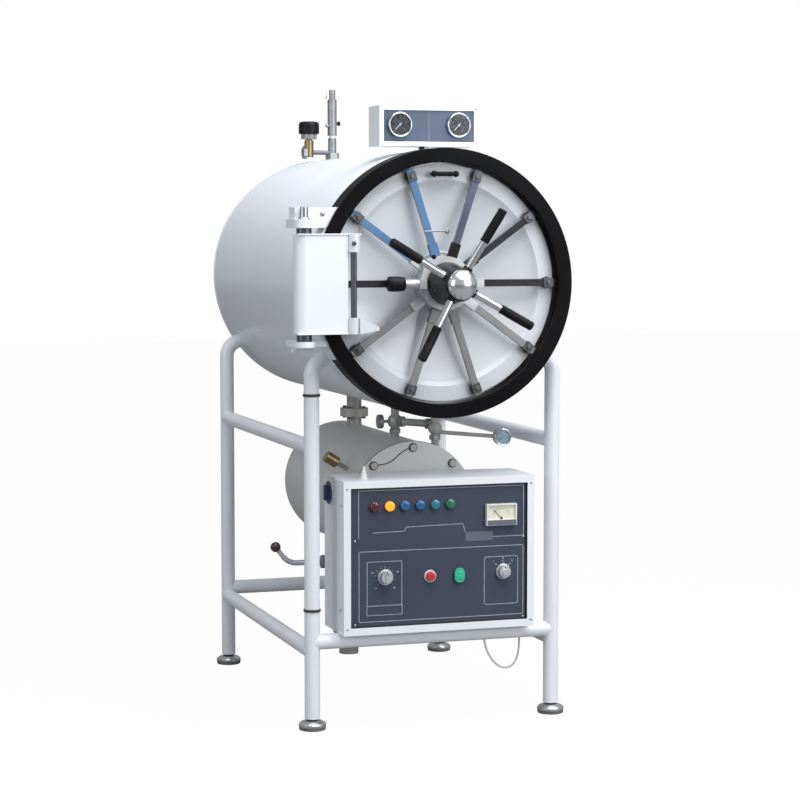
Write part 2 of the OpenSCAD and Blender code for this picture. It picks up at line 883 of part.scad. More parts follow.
// Outline of the ball at one end of the pull handle's bar, from its tip to where the bar begins
function ball_end(side) = [
    for (i = [0:curve_steps])
        let (angle = quarter - i / curve_steps * (quarter + acos(pull_d / 2 / pull_ball_r)))
        [pull_ball_r * cos(angle), side * (pull_w / 2 + pull_ball_r * sin(angle))]
];

module pull_handle() color("black") centred() translate([0, rim_y, axis_z + pull_r]) {
    for (side = [-1, 1]) translate([side * pull_w / 2, -pull_standoff, 0])
        along_y() cylinder(h = pull_standoff, r = pull_post_d / 2);
    translate([0, -pull_standoff, 0]) rotate([0, quarter, 0]) rotate_extrude()
        polygon(concat(ball_end(1), reversed(ball_end(-1))));
}

// Outline of one scroll slot, whose radius grows evenly with its angle
function scroll_point(i, side) =
    let (share = i / cam_steps, angle = share * wheel_turn,
         radius = arm_pin_r + share * arm_travel + side * (arm_pin_d / 2 + pin_gap))
    [radius * cos(angle), radius * sin(angle)];

module scroll_slot() {
    polygon(concat(
        [for (i = [0:cam_steps]) scroll_point(i, 1)],
        [for (i = [cam_steps:-1:0]) scroll_point(i, -1)]
    ));
    for (i = [0, cam_steps]) translate(scroll_point(i, 0)) circle(r = arm_pin_d / 2 + pin_gap);
}

module cam_spindle() color("silver") centred() {
    spoke(0) translate([0, cam_back_y, 0]) rotate([quarter, 0, 0]) linear_extrude(cam_t) difference() {
        circle(r = cam_r);
        for (i = [0:arm_count - 1]) rotate(i * arm_step) scroll_slot();
    }
    on_axis() translate([0, 0, boss_plate_t + slide_gap - boss_front])
        cylinder(h = boss_front - boss_plate_t - slide_gap + cam_front_y, r = cam_hub_r);
    on_axis() translate([0, 0, -spindle_front]) cylinder(h = spindle_front + cam_front_y, r = spindle_r);
}

// Turns what is drawn along X to run along one handle, out and forward from the drum
module handle_line(i) spoke(handle_first + i * full / handle_count)
    translate([handle_root_r, -handle_root_y - handle_root_r * sin(handle_lean), 0])
        rotate([0, 0, -handle_lean]) translate([-handle_root_r, 0, 0]) children();

module wheel_drum() color("black") centred() difference() {
    on_axis() rotate_extrude() polygon([
        [spindle_r, -drum_back], [drum_r, -drum_back], [drum_r, -drum_back - drum_belt],
        [drum_nose_r, -drum_front], [0, -drum_front], [0, -spindle_front], [spindle_r, -spindle_front]
    ]);
    for (i = [0:handle_count - 1]) handle_line(i) translate([handle_root_r, 0, 0]) rotate([0, quarter, 0])
        cylinder(h = grip_reach, r = rod_d / 2);
}

module wheel_rods() color("silver") centred() for (i = [0:handle_count - 1]) handle_line(i)
    translate([handle_root_r, 0, 0]) rotate([0, quarter, 0])
        cylinder(h = grip_reach - rod_hold - handle_root_r, r = rod_d / 2);

module wheel_grips() color("black") centred() for (i = [0:handle_count - 1]) handle_line(i)
    translate([grip_reach - grip_len, 0, 0]) rotate([0, quarter, 0]) rotate_extrude() polygon([
        [rod_d / 2, 0], [grip_d / 2 - grip_bevel, 0], [grip_d / 2, grip_bevel], [grip_d / 2, grip_len],
        [0, grip_len], [0, grip_len - rod_hold], [rod_d / 2, grip_len - rod_hold]
    ]);

module wheel_cap() color("silver") centred() on_axis() rotate_extrude() polygon(concat(
    [[0, -drum_front], [cap_r, -drum_front]],
    [for (i = [0:curve_steps])
        [cap_r * cos(quarter * i / curve_steps),
         -drum_front - cap_belt - (cap_h - cap_belt) * sin(quarter * i / curve_steps)]]
));

module interlock_knob() color("black") centred() translate([0, -lock_y, axis_z]) rotate([0, -quarter, 0]) {
    translate([0, 0, lock_tip_r]) cylinder(h = lock_grip_in - lock_tip_r, r = lock_rod_d / 2);
    translate([0, 0, lock_grip_in]) rotate_extrude() polygon([
        [0, 0], [lock_grip_d / 2 - lock_grip_bevel, 0], [lock_grip_d / 2, lock_grip_bevel],
        [lock_grip_d / 2, lock_grip_len - lock_grip_bevel],
        [lock_grip_d / 2 - lock_grip_bevel, lock_grip_len], [0, lock_grip_len]
    ]);
}

// One locking arm with the pin that runs in the cam
module locking_arm(i) color("silver") centred() spoke((i - 1) * arm_step) {
    translate([arm_in_r, arm_front_y, -arm_w / 2]) cube([arm_out_r - arm_in_r, arm_t, arm_w]);
    translate([arm_pin_r, arm_back_y, 0]) along_y() cylinder(h = arm_pin_len, r = arm_pin_d / 2);
}

module gauge_box() color("white") centred() {
    difference() {
        translate([-gauge_box_w / 2, gauge_box_y, gauge_box_z]) cube([gauge_box_w, gauge_box_d, gauge_box_h]);
        translate([skin_t - gauge_box_w / 2, gauge_box_y + skin_t, gauge_box_z + skin_t])
            cube([gauge_box_w - 2 * skin_t, gauge_box_d - 2 * skin_t, gauge_box_h - 2 * skin_t]);
        translate([gauge_panel_margin - gauge_box_w / 2, gauge_box_y - cut, gauge_box_z + gauge_panel_margin])
            cube([gauge_box_w - 2 * gauge_panel_margin, 2 * cut, gauge_box_h - 2 * gauge_panel_margin]);
    }
    difference() {
        translate([skin_t - gauge_box_w / 2, gauge_box_y + gauge_panel_recess, gauge_box_z + skin_t])
            cube([gauge_box_w - 2 * skin_t, gauge_panel_t, gauge_box_h - 2 * skin_t]);
        for (side = [-1, 1]) translate([side * gauge_pitch / 2, gauge_box_y - cut, gauge_box_z + gauge_rise])
            along_y() cylinder(h = 2 * gauge_box_d, r = gauge_cup_d / 2);
    }
    difference() {
        translate([0, gauge_post_y, axis_z]) cylinder(h = gauge_box_z - axis_z, r = gauge_post_d / 2);
        barrel_solid();
    }
}

module gauge_bodies() color("silver") centred() {
    pin_hole = needle_pin_r + run_gap;
    for (side = [-1, 1]) translate([side * gauge_pitch / 2, gauge_box_y, gauge_box_z + gauge_rise]) along_y()
        rotate_extrude() polygon([
            [pin_hole, gauge_dial_depth - gauge_proud],
            [gauge_d / 2 - gauge_rim, gauge_dial_depth - gauge_proud],
            [gauge_d / 2 - gauge_rim, -gauge_proud], [gauge_d / 2, -gauge_proud],
            [gauge_d / 2, gauge_panel_recess], [gauge_cup_d / 2, gauge_panel_recess],
            [gauge_cup_d / 2, gauge_cup_len], [pin_hole, gauge_cup_len]
        ]);
}

// A needle that points down to the left, on the dial of one gauge
module gauge_needle(x) {
    dial_y_face = gauge_box_y + gauge_dial_depth - gauge_proud;
    translate([x, dial_y_face - slide_gap, gauge_box_z + gauge_rise]) {
        rotate([quarter, 0, 0]) cylinder(h = needle_lift, r = needle_hub_d / 2);
        along_y() cylinder(h = needle_pin_len, r = needle_pin_r);
        rotate([0, -quarter / 2, 0]) translate([-needle_len, -needle_lift, -needle_w / 2])
            cube([needle_len + needle_tail, needle_t, needle_w]);
    }
}

module gauge_needle_left() color("white") centred() gauge_needle(-gauge_pitch / 2);

module gauge_needle_right() color("white") centred() gauge_needle(gauge_pitch / 2);

module cabinet_case() color("white") centred() {
    difference() {
        translate([-cabinet_w / 2, -cabinet_front, cabinet_z]) cube([cabinet_w, cabinet_d, cabinet_h]);
        translate([sheet_t - cabinet_w / 2, sheet_t - cabinet_front, cabinet_z + sheet_t])
            cube([cabinet_w - 2 * sheet_t, cabinet_d - 2 * sheet_t, cabinet_h - 2 * sheet_t]);
        translate([panel_margin - cabinet_w / 2, -cabinet_front - cut, cabinet_z + panel_margin])
            cube([cabinet_w - 2 * panel_margin, 2 * cut, cabinet_h - 2 * panel_margin]);
        translate([-cabinet_w / 2 - cut, switch_y, cabinet_z + switch_rise]) rotate([0, quarter, 0])
            cylinder(h = 2 * cut, r = knob_shaft_r + run_gap);
    }
    for (end = [0, len(loop_route) - 1])
        translate(loop_start + loop_route[end]) cylinder(h = gland_len, r = gland_d / 2);
}

module cabinet_panel() color("slategray") centred() difference() {
    translate([sheet_t - cabinet_w / 2, panel_y, cabinet_z + sheet_t])
        cube([cabinet_w - 2 * sheet_t, panel_t, cabinet_h - 2 * sheet_t]);
    for (x = [stop_x, start_x]) translate([x, panel_y - cut, cabinet_z + button_rise]) along_y()
        cylinder(h = panel_t + 2 * cut, r = button_stem_d / 2 + slide_gap);
    for (x = [timer_x, selector_x]) translate([x, panel_y - cut, cabinet_z + knob_rise]) along_y()
        cylinder(h = panel_t + 2 * cut, r = knob_shaft_r + run_gap);
    for (i = [0:lamp_count - 1])
        translate([lamp_first_x + i * lamp_pitch, panel_y - cut, cabinet_z + lamp_rise]) along_y()
            cylinder(h = panel_t + 2 * cut, r = lamp_d / 2);
}

// A plate on the cabinet's back wall with a row of contactors on it
module switchgear() color("lightgray") centred() {
    plate_y = cabinet_back_y - sheet_t - gear_plate_t;
    row_w = gear_pitch * (gear_count - 1);
    translate([-row_w / 2 - gear_w / 2, plate_y, cabinet_z + gear_h])
        cube([row_w + gear_w, gear_plate_t, 2 * gear_h]);
    for (i = [0:gear_count - 1])
        translate([i * gear_pitch - row_w / 2 - gear_w / 2, plate_y - gear_d, cabinet_z + 3 / 2 * gear_h])
            cube([gear_w, gear_d, gear_h]);
}

module indicator_lamps() color("orange") centred() {
    for (i = [0:lamp_count - 1])
        translate([lamp_first_x + i * lamp_pitch, panel_y, cabinet_z + lamp_rise]) along_y()
            rotate_extrude() polygon(concat(
                [[0, lamp_tail_len], [lamp_d / 2, lamp_tail_len], [lamp_d / 2, 0], [lamp_collar_d / 2, 0],
                 [lamp_collar_d / 2, -lamp_collar_t], [lamp_d / 2, -lamp_collar_t]],
                [for (j = [1:curve_steps])
                    [lamp_d / 2 * cos(quarter * j / curve_steps),
                     -lamp_collar_t - (lamp_proud - lamp_collar_t) * sin(quarter * j / curve_steps)]]
            ));
}

module panel_meter() color("white") centred() difference() {
    translate([meter_x - meter_w / 2, panel_y - meter_t, cabinet_z + meter_rise - meter_h / 2])
        cube([meter_w, meter_t, meter_h]);
    translate([meter_x + meter_frame - meter_w / 2, panel_y - meter_t - cut, meter_foot_z])
        cube([meter_w - 2 * meter_frame, cut + meter_dial_depth, meter_h - meter_foot_h - meter_frame]);
    translate([meter_x, panel_y - meter_t, meter_pin_z]) along_y()
        cylinder(h = meter_t + cut, r = needle_pin_r + run_gap);
}

module meter_needle() color("black") centred()
    translate([meter_x, panel_y - meter_t + meter_dial_depth - slide_gap, meter_pin_z]) {
        rotate([quarter, 0, 0]) cylinder(h = needle_lift, r = needle_hub_d / 2);
        along_y() cylinder(h = needle_pin_len, r = needle_pin_r);
        rotate([0, quarter / 2, 0]) translate([-meter_needle_len, -needle_lift, -needle_w / 4])
            cube([meter_needle_len, needle_t, needle_w / 2]);
    }

module knob(x) translate([x, panel_y - knob_gap, cabinet_z + knob_rise]) {
    along_y() cylinder(h = knob_shaft_len, r = knob_shaft_r);
    rotate([quarter, 0, 0]) cylinder(h = knob_skirt_h, r = knob_skirt_d / 2);
    rotate([quarter, 0, 0]) cylinder(h = knob_h, r1 = knob_d / 2, r2 = knob_d / 2 - knob_skirt_h);
}

module timer_knob() color("silver") centred() {
    knob(timer_x);
    translate([
        timer_x - knob_wing_w / 2, panel_y - knob_gap - knob_h - knob_skirt_h,
        cabinet_z + knob_rise - knob_d / 3
    ]) cube([knob_wing_w, knob_skirt_h, 2 * knob_d / 3]);
}

module selector_knob() color("silver") centred() {
    knob(selector_x);
    translate([selector_x, panel_y - knob_gap - knob_h, cabinet_z + knob_rise]) rotate([quarter, 0, 0])
        cylinder(h = knob_skirt_h, r = knob_d / 4);
}

module push_button(x) translate([x, panel_y, cabinet_z + button_rise]) {
    translate([0, -button_travel - slide_gap, 0]) rotate([quarter, 0, 0])
        cylinder(h = button_proud - button_travel, r = button_cap_d / 2);
    translate([0, -button_travel - slide_gap, 0]) along_y()
        cylinder(h = button_stem_len, r = button_stem_d / 2);
}

module stop_button() color("red") centred() push_button(stop_x);

module start_button() color("mediumseagreen") centred() push_button(start_x);

// A rotary handle on the cabinet's left side
module main_switch() color("midnightblue") centred()
    translate([-cabinet_w / 2 - knob_gap, switch_y, cabinet_z + switch_rise]) rotate([0, -quarter, 0]) {
        cylinder(h = switch_plate_t, r = switch_w / 2);
        translate([0, 0, -knob_shaft_len]) cylinder(h = knob_shaft_len, r = knob_shaft_r);
        translate([-switch_grip_len / 2, -switch_grip_w / 2, 0])
            cube([switch_grip_len, switch_grip_w, switch_grip_t]);
    }

module boiler_axis() translate([boiler_x, 0, boiler_z]) along_y() children();

module boiler_shell() color("lightgray") centred() boiler_axis() rotate_extrude() polygon(concat(
    [[boiler_r - boiler_t, boiler_front + cover_t], [boiler_r + boiler_lip, boiler_front + cover_t],
     [boiler_r + boiler_lip, boiler_front + 2 * cover_t], [boiler_r, boiler_front + 2 * cover_t]],
    dish_curve(boiler_r, boiler_back - boiler_head, boiler_head),
    reversed(dish_curve(boiler_r - boiler_t, boiler_back - boiler_head, boiler_head - boiler_t))
));

module boiler_cover() color("lightgray") centred() {
    boiler_axis() translate([0, 0, boiler_front]) cylinder(h = cover_t, r = boiler_r + boiler_lip);
    for (i = [0:cover_bolt_count - 1]) boiler_axis() rotate(i * full / cover_bolt_count)
        translate([boiler_r - cover_bolt_inset, 0, boiler_front - cover_bolt_h])
            cylinder(h = cover_bolt_h, r = cover_bolt_d / 2, $fn = 6);
}

module heater_elements() color("dimgray") centred() {
    for (i = [-1:1]) translate([boiler_x + i * heater_pitch, boiler_front + cover_t, boiler_z - heater_drop]) {
        for (side = [0, 1]) translate([0, 0, -side * heater_gap]) along_y()
            cylinder(h = heater_len, r = heater_d / 2);
        translate([0, heater_len, -heater_gap / 2]) rotate([0, quarter, 0]) rotate_extrude(angle = half)
            translate([heater_gap / 2, 0]) circle(r = heater_d / 2);
    }
}

module vertical_pipe(x, y, diameter) translate([x, y, boiler_z])
    cylinder(h = axis_z - boiler_z, r = diameter / 2);

module steam_pipework() color("lightgray") centred() {
    difference() {
        union() {
            vertical_pipe(boiler_x, steam_pipe_y, steam_pipe_d);
            translate([boiler_x, steam_pipe_y, pipe_flange_z - pipe_flange_t])
                cylinder(h = 2 * pipe_flange_t, r = pipe_flange_d / 2);
        }
        barrel_solid();
        boiler_solid();
    }
    difference() {
        union() {
            vertical_pipe(boiler_x, feed_pipe_y, feed_pipe_d);
            translate([boiler_x, feed_pipe_y, valve_z]) sphere(r = valve_body_r);
            vertical_pipe(riser_x, riser_y, riser_d);
            translate([riser_x, riser_y, tee_z]) sphere(r = tee_r);
            rod_between([boiler_x, feed_pipe_y, valve_z], [riser_x, riser_y, valve_z], riser_d / 2);
            rod_between([riser_x, riser_y, tee_z - dial_pipe_d], [dial_x, dial_y, dial_z], dial_pipe_d / 2);
            translate([dial_x, dial_y - dial_t / 2, dial_z]) along_y() cylinder(h = dial_t, r = dial_d / 2);
        }
        barrel_solid();
        boiler_solid();
        translate([boiler_x + slide_gap, feed_pipe_y, valve_z]) rotate([0, -quarter, 0])
            cylinder(h = valve_stem_len + valve_body_r, r = valve_stem_d / 2 + run_gap);
    }
    difference() {
        translate([boiler_x, brass_y, boiler_z]) rotate([0, quarter - brass_angle, 0]) {
            cylinder(h = boiler_r + brass_stem_len, r = brass_stem_d / 2);
            translate([0, 0, boiler_r + brass_stem_len]) cylinder(h = brass_len, r = brass_d / 2);
        }
        boiler_solid();
    }
    difference() {
        union() {
            translate([boiler_x, drain_y, drain_z]) rotate([0, -quarter, 0])
                cylinder(h = boiler_x - drain_body_x, r = drain_pipe_d / 2);
            translate([drain_body_x, drain_y, drain_z]) sphere(r = drain_body_r);
            translate([pot_x, drain_y, pot_joint_z])
                cylinder(h = drain_z - pot_joint_z, r = drain_pipe_d / 2);
            rod_between([pot_x, drain_y, pot_joint_z], [pot_x, pot_y, pot_joint_z], drain_pipe_d / 2);
            translate([pot_x, drain_y, pot_joint_z]) sphere(r = drain_joint_r);
            translate([pot_x, pot_y, pot_low]) cylinder(h = pot_h, r = pot_d / 2);
        }
        boiler_solid();
        translate([pot_x, pot_y, pot_low - cut]) cylinder(h = pot_bore_len + cut, r = pot_bore_d / 2);
        translate([drain_body_x + slide_gap, drain_y, drain_z]) rotate([0, -quarter, 0])
            cylinder(h = boiler_r, r = valve_stem_d / 2 + run_gap);
    }
    translate([exhaust_x, barrel_back_y, axis_z - exhaust_drop]) along_y() {
        pipe(port_len, exhaust_d / 2, exhaust_bore_d / 2);
        translate([0, 0, -port_back]) pipe(port_back, exhaust_body_d / 2, exhaust_bore_d / 2);
    }
    difference() {
        translate([boiler_x + inlet_x, boiler_back - boiler_head, boiler_z]) along_y() {
            pipe(reach_back - boiler_back + boiler_head, inlet_d / 2, inlet_bore_d / 2);
            pipe(reach_back - port_len - boiler_back + boiler_head, inlet_body_d / 2, inlet_bore_d / 2);
        }
        boiler_axis() translate([0, 0, boiler_back - boiler_head]) rotate_extrude() polygon(concat(
            [[0, 0]], dish_curve(boiler_r, 0, boiler_head)));
    }
}

module steam_valve_knob() color("dimgray") centred() translate([boiler_x, feed_pipe_y, valve_z])
    rotate([0, -quarter, 0]) {
        cylinder(h = valve_body_r + valve_stem_len / 2, r = valve_stem_d / 2);
        translate([0, 0, valve_body_r + valve_stem_len / 2]) cylinder(h = valve_knob_t, r = valve_knob_d / 2);
    }

// A bent rod with a ball that turns on the drain valve's stem
module drain_lever() color("ivory") centred() translate([drain_body_x, drain_y, drain_z])
    rotate([0, -quarter, 0]) {
        stem = drain_body_x - drain_stem_x;
        cylinder(h = stem, r = valve_stem_d / 2);
        translate([0, 0, drain_body_r + slide_gap]) cylinder(h = stem - drain_body_r, r = lever_hub_d / 2);
        translate([0, 0, stem]) cylinder(h = lever_run, r = lever_d / 2);
        translate([lever_bend_r, 0, stem + lever_run]) mirror([1, 0, 0]) rotate([quarter, 0, 0])
            rotate_extrude(angle = lever_bend) translate([lever_bend_r, 0]) circle(r = lever_d / 2);
        translate([
            lever_bend_r * (1 - cos(lever_bend)), 0, stem + lever_run + lever_bend_r * sin(lever_bend)
        ]) rotate([0, lever_bend, 0]) {
            translate([0, 0, -cut]) cylinder(h = lever_tail + cut, r = lever_tail_d / 2);
            translate([0, 0, lever_tail + lever_ball_d / 3]) sphere(r = lever_ball_d / 2);
        }
    }

module top_valves() color("silver") centred() difference() {
    lug_reach = lift_pin_d / 2 + lift_lug_wall;
    union() {
        translate([lift_pin_x - lug_reach, top_y - lift_lug_w / 2, lift_pin_z - lug_reach])
            cube([lug_reach - lift_pin_x, lift_lug_w, 2 * lug_reach]);
        translate([0, top_y, axis_z]) cylinder(h = barrel_r + safety_nut_h, r = safety_nut_d / 2, $fn = 6);
        translate([0, top_y, barrel_top_z])
            cylinder(h = safety_waist_z - barrel_top_z, r = safety_base_d / 2);
        translate([0, top_y, safety_waist_z]) cylinder(h = safety_gap, r = safety_neck_d / 2);
        translate([0, top_y, safety_waist_z + safety_gap])
            cylinder(h = safety_cap_z - safety_waist_z - safety_gap, r = safety_d / 2);
        translate([0, top_y, safety_cap_z]) cylinder(h = safety_top_z - safety_cap_z, r = safety_neck_d / 2);
        translate([-vent_x, top_y, vent_branch_z]) rotate([0, quarter, 0])
            cylinder(h = vent_x, r = vent_branch_d / 2);
        translate([-vent_x, top_y, barrel_top_z + vent_low]) cylinder(h = vent_h - vent_low, r = vent_d / 2);
        translate([-vent_x, top_y, barrel_top_z + vent_h]) cylinder(h = vent_neck_h, r = vent_neck_d / 2);
        translate([-vent_x - vent_d / 2 - vent_nut_t / 2, top_y, vent_branch_z])
            rotate([0, quarter, 0]) cylinder(h = vent_nut_t, r = vent_nut_d / 2, $fn = 6);
    }
    barrel_solid();
    translate([-vent_x, top_y, barrel_top_z + vent_h + vent_neck_h - vent_stem_len])
        cylinder(h = vent_stem_len + cut, r = valve_stem_d / 2 + run_gap);
    translate([lift_pin_x, top_y - lift_lug_w, lift_pin_z]) along_y()
        cylinder(h = 2 * lift_lug_w, r = lift_pin_d / 2 + run_gap);
}

// A flat lever on a cross pin in the safety valve's lug
module safety_lever() color("silver") centred() {
    cheek_y = top_y - lift_lug_w / 2 - slide_gap - lift_t;
    translate([lift_pin_x, cheek_y, lift_pin_z]) along_y()
        cylinder(h = lift_t + 2 * slide_gap + lift_lug_w, r = lift_pin_d / 2);
    translate([lift_pin_x - lift_w / 2, cheek_y, lift_pin_z - lift_foot]) cube([lift_w, lift_t, lift_len]);
}

module vent_knob() color("black") centred()
    translate([-vent_x, top_y, barrel_top_z + vent_h + vent_neck_h + slide_gap]) {
        cylinder(h = vent_knob_neck_h, r = vent_knob_neck_d / 2);
        translate([0, 0, vent_knob_neck_h]) cylinder(h = vent_knob_h, r = vent_knob_d / 2);
        translate([0, 0, -vent_stem_len]) cylinder(h = vent_stem_len, r = valve_stem_d / 2);
    }

// Rings of points round the route, each square to the route where it stands
function unit(v) = v / norm(v);
function heading(i) = unit(loop_route[min(i + 1, len(loop_route) - 1)] - loop_route[max(i - 1, 0)]);
function loop_ring(i) =
    let (side = [0, 1, 0], up = cross(heading(i), side))
    [for (k = [0:loop_sides - 1])
        loop_route[i] + loop_d / 2 * (side * cos(k * full / loop_sides) + up * sin(k * full / loop_sides))];

module hanging_tube() color("white") centred() translate(loop_start) {
    last = len(loop_route) - 1;
    polyhedron(
        points = [for (i = [0:last]) each loop_ring(i)],
        faces = concat(
            [[for (k = [0:loop_sides - 1]) k]],
            [for (i = [0:last - 1], k = [0:loop_sides - 1])
                let (a = i * loop_sides + k, b = i * loop_sides + (k + 1) % loop_sides)
                each [[a, a + loop_sides, b], [b, a + loop_sides, b + loop_sides]]],
            [[for (k = [loop_sides - 1:-1:0]) last * loop_sides + k]]
        )
    );
}

frame_legs();
frame_rails();
foot_domes();
foot_pads();
barrel_skin();
rear_cover();
insulation();
pressure_vessel();
locking_ring();
chamber_rack();
hinge_bracket();
hinge_pin();
door_plate();
door_gasket();
hub_boss();
arm_guides();
lug_rod();
hinge_arm();
pull_handle();
cam_spindle();
wheel_drum();
wheel_rods();
wheel_grips();
wheel_cap();
interlock_knob();
locking_arm(1);  // locking_arm_1
locking_arm(2);  // locking_arm_2
locking_arm(3);  // locking_arm_3
locking_arm(4);  // locking_arm_4
locking_arm(5);  // locking_arm_5
locking_arm(6);  // locking_arm_6
locking_arm(7);  // locking_arm_7
locking_arm(8);  // locking_arm_8
locking_arm(9);  // locking_arm_9
locking_arm(10);  // locking_arm_10
gauge_box();
gauge_bodies();
gauge_needle_left();
gauge_needle_right();
cabinet_case();
cabinet_panel();
switchgear();
indicator_lamps();
panel_meter();
meter_needle();
timer_knob();
selector_knob();
stop_button();
start_button();
main_switch();
boiler_shell();
boiler_cover();
heater_elements();
steam_pipework();
steam_valve_knob();
drain_lever();
top_valves();
safety_lever();
vent_knob();
hanging_tube();
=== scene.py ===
"""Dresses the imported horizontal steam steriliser: its finishes, fittings, camera and studio light."""

import json
import logging
import math
from dataclasses import dataclass
from enum import Enum
from typing import Callable, Optional, Sequence

import bpy
from mathutils import Euler, Matrix, Vector


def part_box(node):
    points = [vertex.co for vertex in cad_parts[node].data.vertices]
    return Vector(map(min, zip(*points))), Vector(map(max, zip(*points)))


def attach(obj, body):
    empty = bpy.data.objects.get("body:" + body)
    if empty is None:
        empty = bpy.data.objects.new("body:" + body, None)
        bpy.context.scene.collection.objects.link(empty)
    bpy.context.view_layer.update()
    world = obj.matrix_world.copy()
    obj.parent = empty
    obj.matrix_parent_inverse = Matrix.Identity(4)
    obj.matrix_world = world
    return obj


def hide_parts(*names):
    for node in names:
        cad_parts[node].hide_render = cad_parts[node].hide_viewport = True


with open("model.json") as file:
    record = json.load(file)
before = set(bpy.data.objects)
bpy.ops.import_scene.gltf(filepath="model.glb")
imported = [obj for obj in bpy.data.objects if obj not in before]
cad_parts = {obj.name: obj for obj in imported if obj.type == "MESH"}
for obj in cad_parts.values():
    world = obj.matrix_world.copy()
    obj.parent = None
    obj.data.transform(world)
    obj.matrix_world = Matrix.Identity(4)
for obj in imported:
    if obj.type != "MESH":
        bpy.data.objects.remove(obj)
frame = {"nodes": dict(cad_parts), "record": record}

LOG = logging.getLogger("steriliser")
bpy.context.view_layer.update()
MM = 0.001
FULL_TURN = 2 * math.pi
QUARTER_TURN = math.pi / 2
MARK_EDGE = 0.08  # millimetres that the edges of printed marks are rounded by
PRINT_LIFT = 0.25  # millimetres that printed marks stand proud
NEARLY_ONE = 1e-6  # metres within which points are merged
LETTER_SIZE = 1.4  # a text's size over the height of its figures

Colour = tuple[float, float, float]
Point = tuple[float, float, float]
Span = tuple[float, float]
Outline = Sequence[tuple[float, float]]
Profile = tuple[tuple[float, float], ...]
Test = Callable[[Vector, Vector], bool]

RING_LOW, RING_HIGH = (Vector(corner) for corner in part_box("locking_ring"))
RING_PROUD = 110.0
ORIGIN = Vector(((RING_LOW.x + RING_HIGH.x) / 2, RING_LOW.y + RING_PROUD * MM, 0.0))
AXIS = (RING_LOW.z + RING_HIGH.z) / 2 / MM


def at(x: float, y: float, z: float) -> Vector:
    """Turns millimetres from the floor point under the barrel's axis, at the front legs, into metres."""
    return ORIGIN + Vector((x, y, z)) * MM


def local(point: Vector) -> Vector:
    """Turns a place in metres back into millimetres from that floor point."""
    return (point - ORIGIN) / MM


def within(place: Vector, low: Sequence[float], high: Sequence[float]) -> bool:
    """Whether a place lies between two corners."""
    return all(least < value < most for least, value, most in zip(low, place, high))


class Facing(Enum):
    """The direction that a piece's own Z points in."""

    UP = (0.0, 0.0, 0.0)
    DOWN = (math.pi, 0.0, 0.0)
    FRONT = (QUARTER_TURN, 0.0, 0.0)
    BACK = (-QUARTER_TURN, 0.0, 0.0)
    LEFT = (0.0, -QUARTER_TURN, 0.0)
    RIGHT = (0.0, QUARTER_TURN, 0.0)

    def seat(self, x: float, y: float, z: float) -> Matrix:
        """The place and turn of a piece whose own zero is at that point."""
        return Matrix.Translation(at(x, y, z)) @ Euler(self.value).to_matrix().to_4x4()


def spoke(angle: float) -> Matrix:
    """The barrel's axis, with X turned out at that many degrees as seen from the front."""
    return Matrix.Translation(at(0, 0, AXIS)) @ Matrix.Rotation(-math.radians(angle), 4, "Y")


def shift(x: float, y: float, z: float) -> Matrix:
    """A move in millimetres."""
    return Matrix.Translation(Vector((x, y, z)) * MM)


OUTWARD = Matrix.Rotation(QUARTER_TURN, 4, "Y")


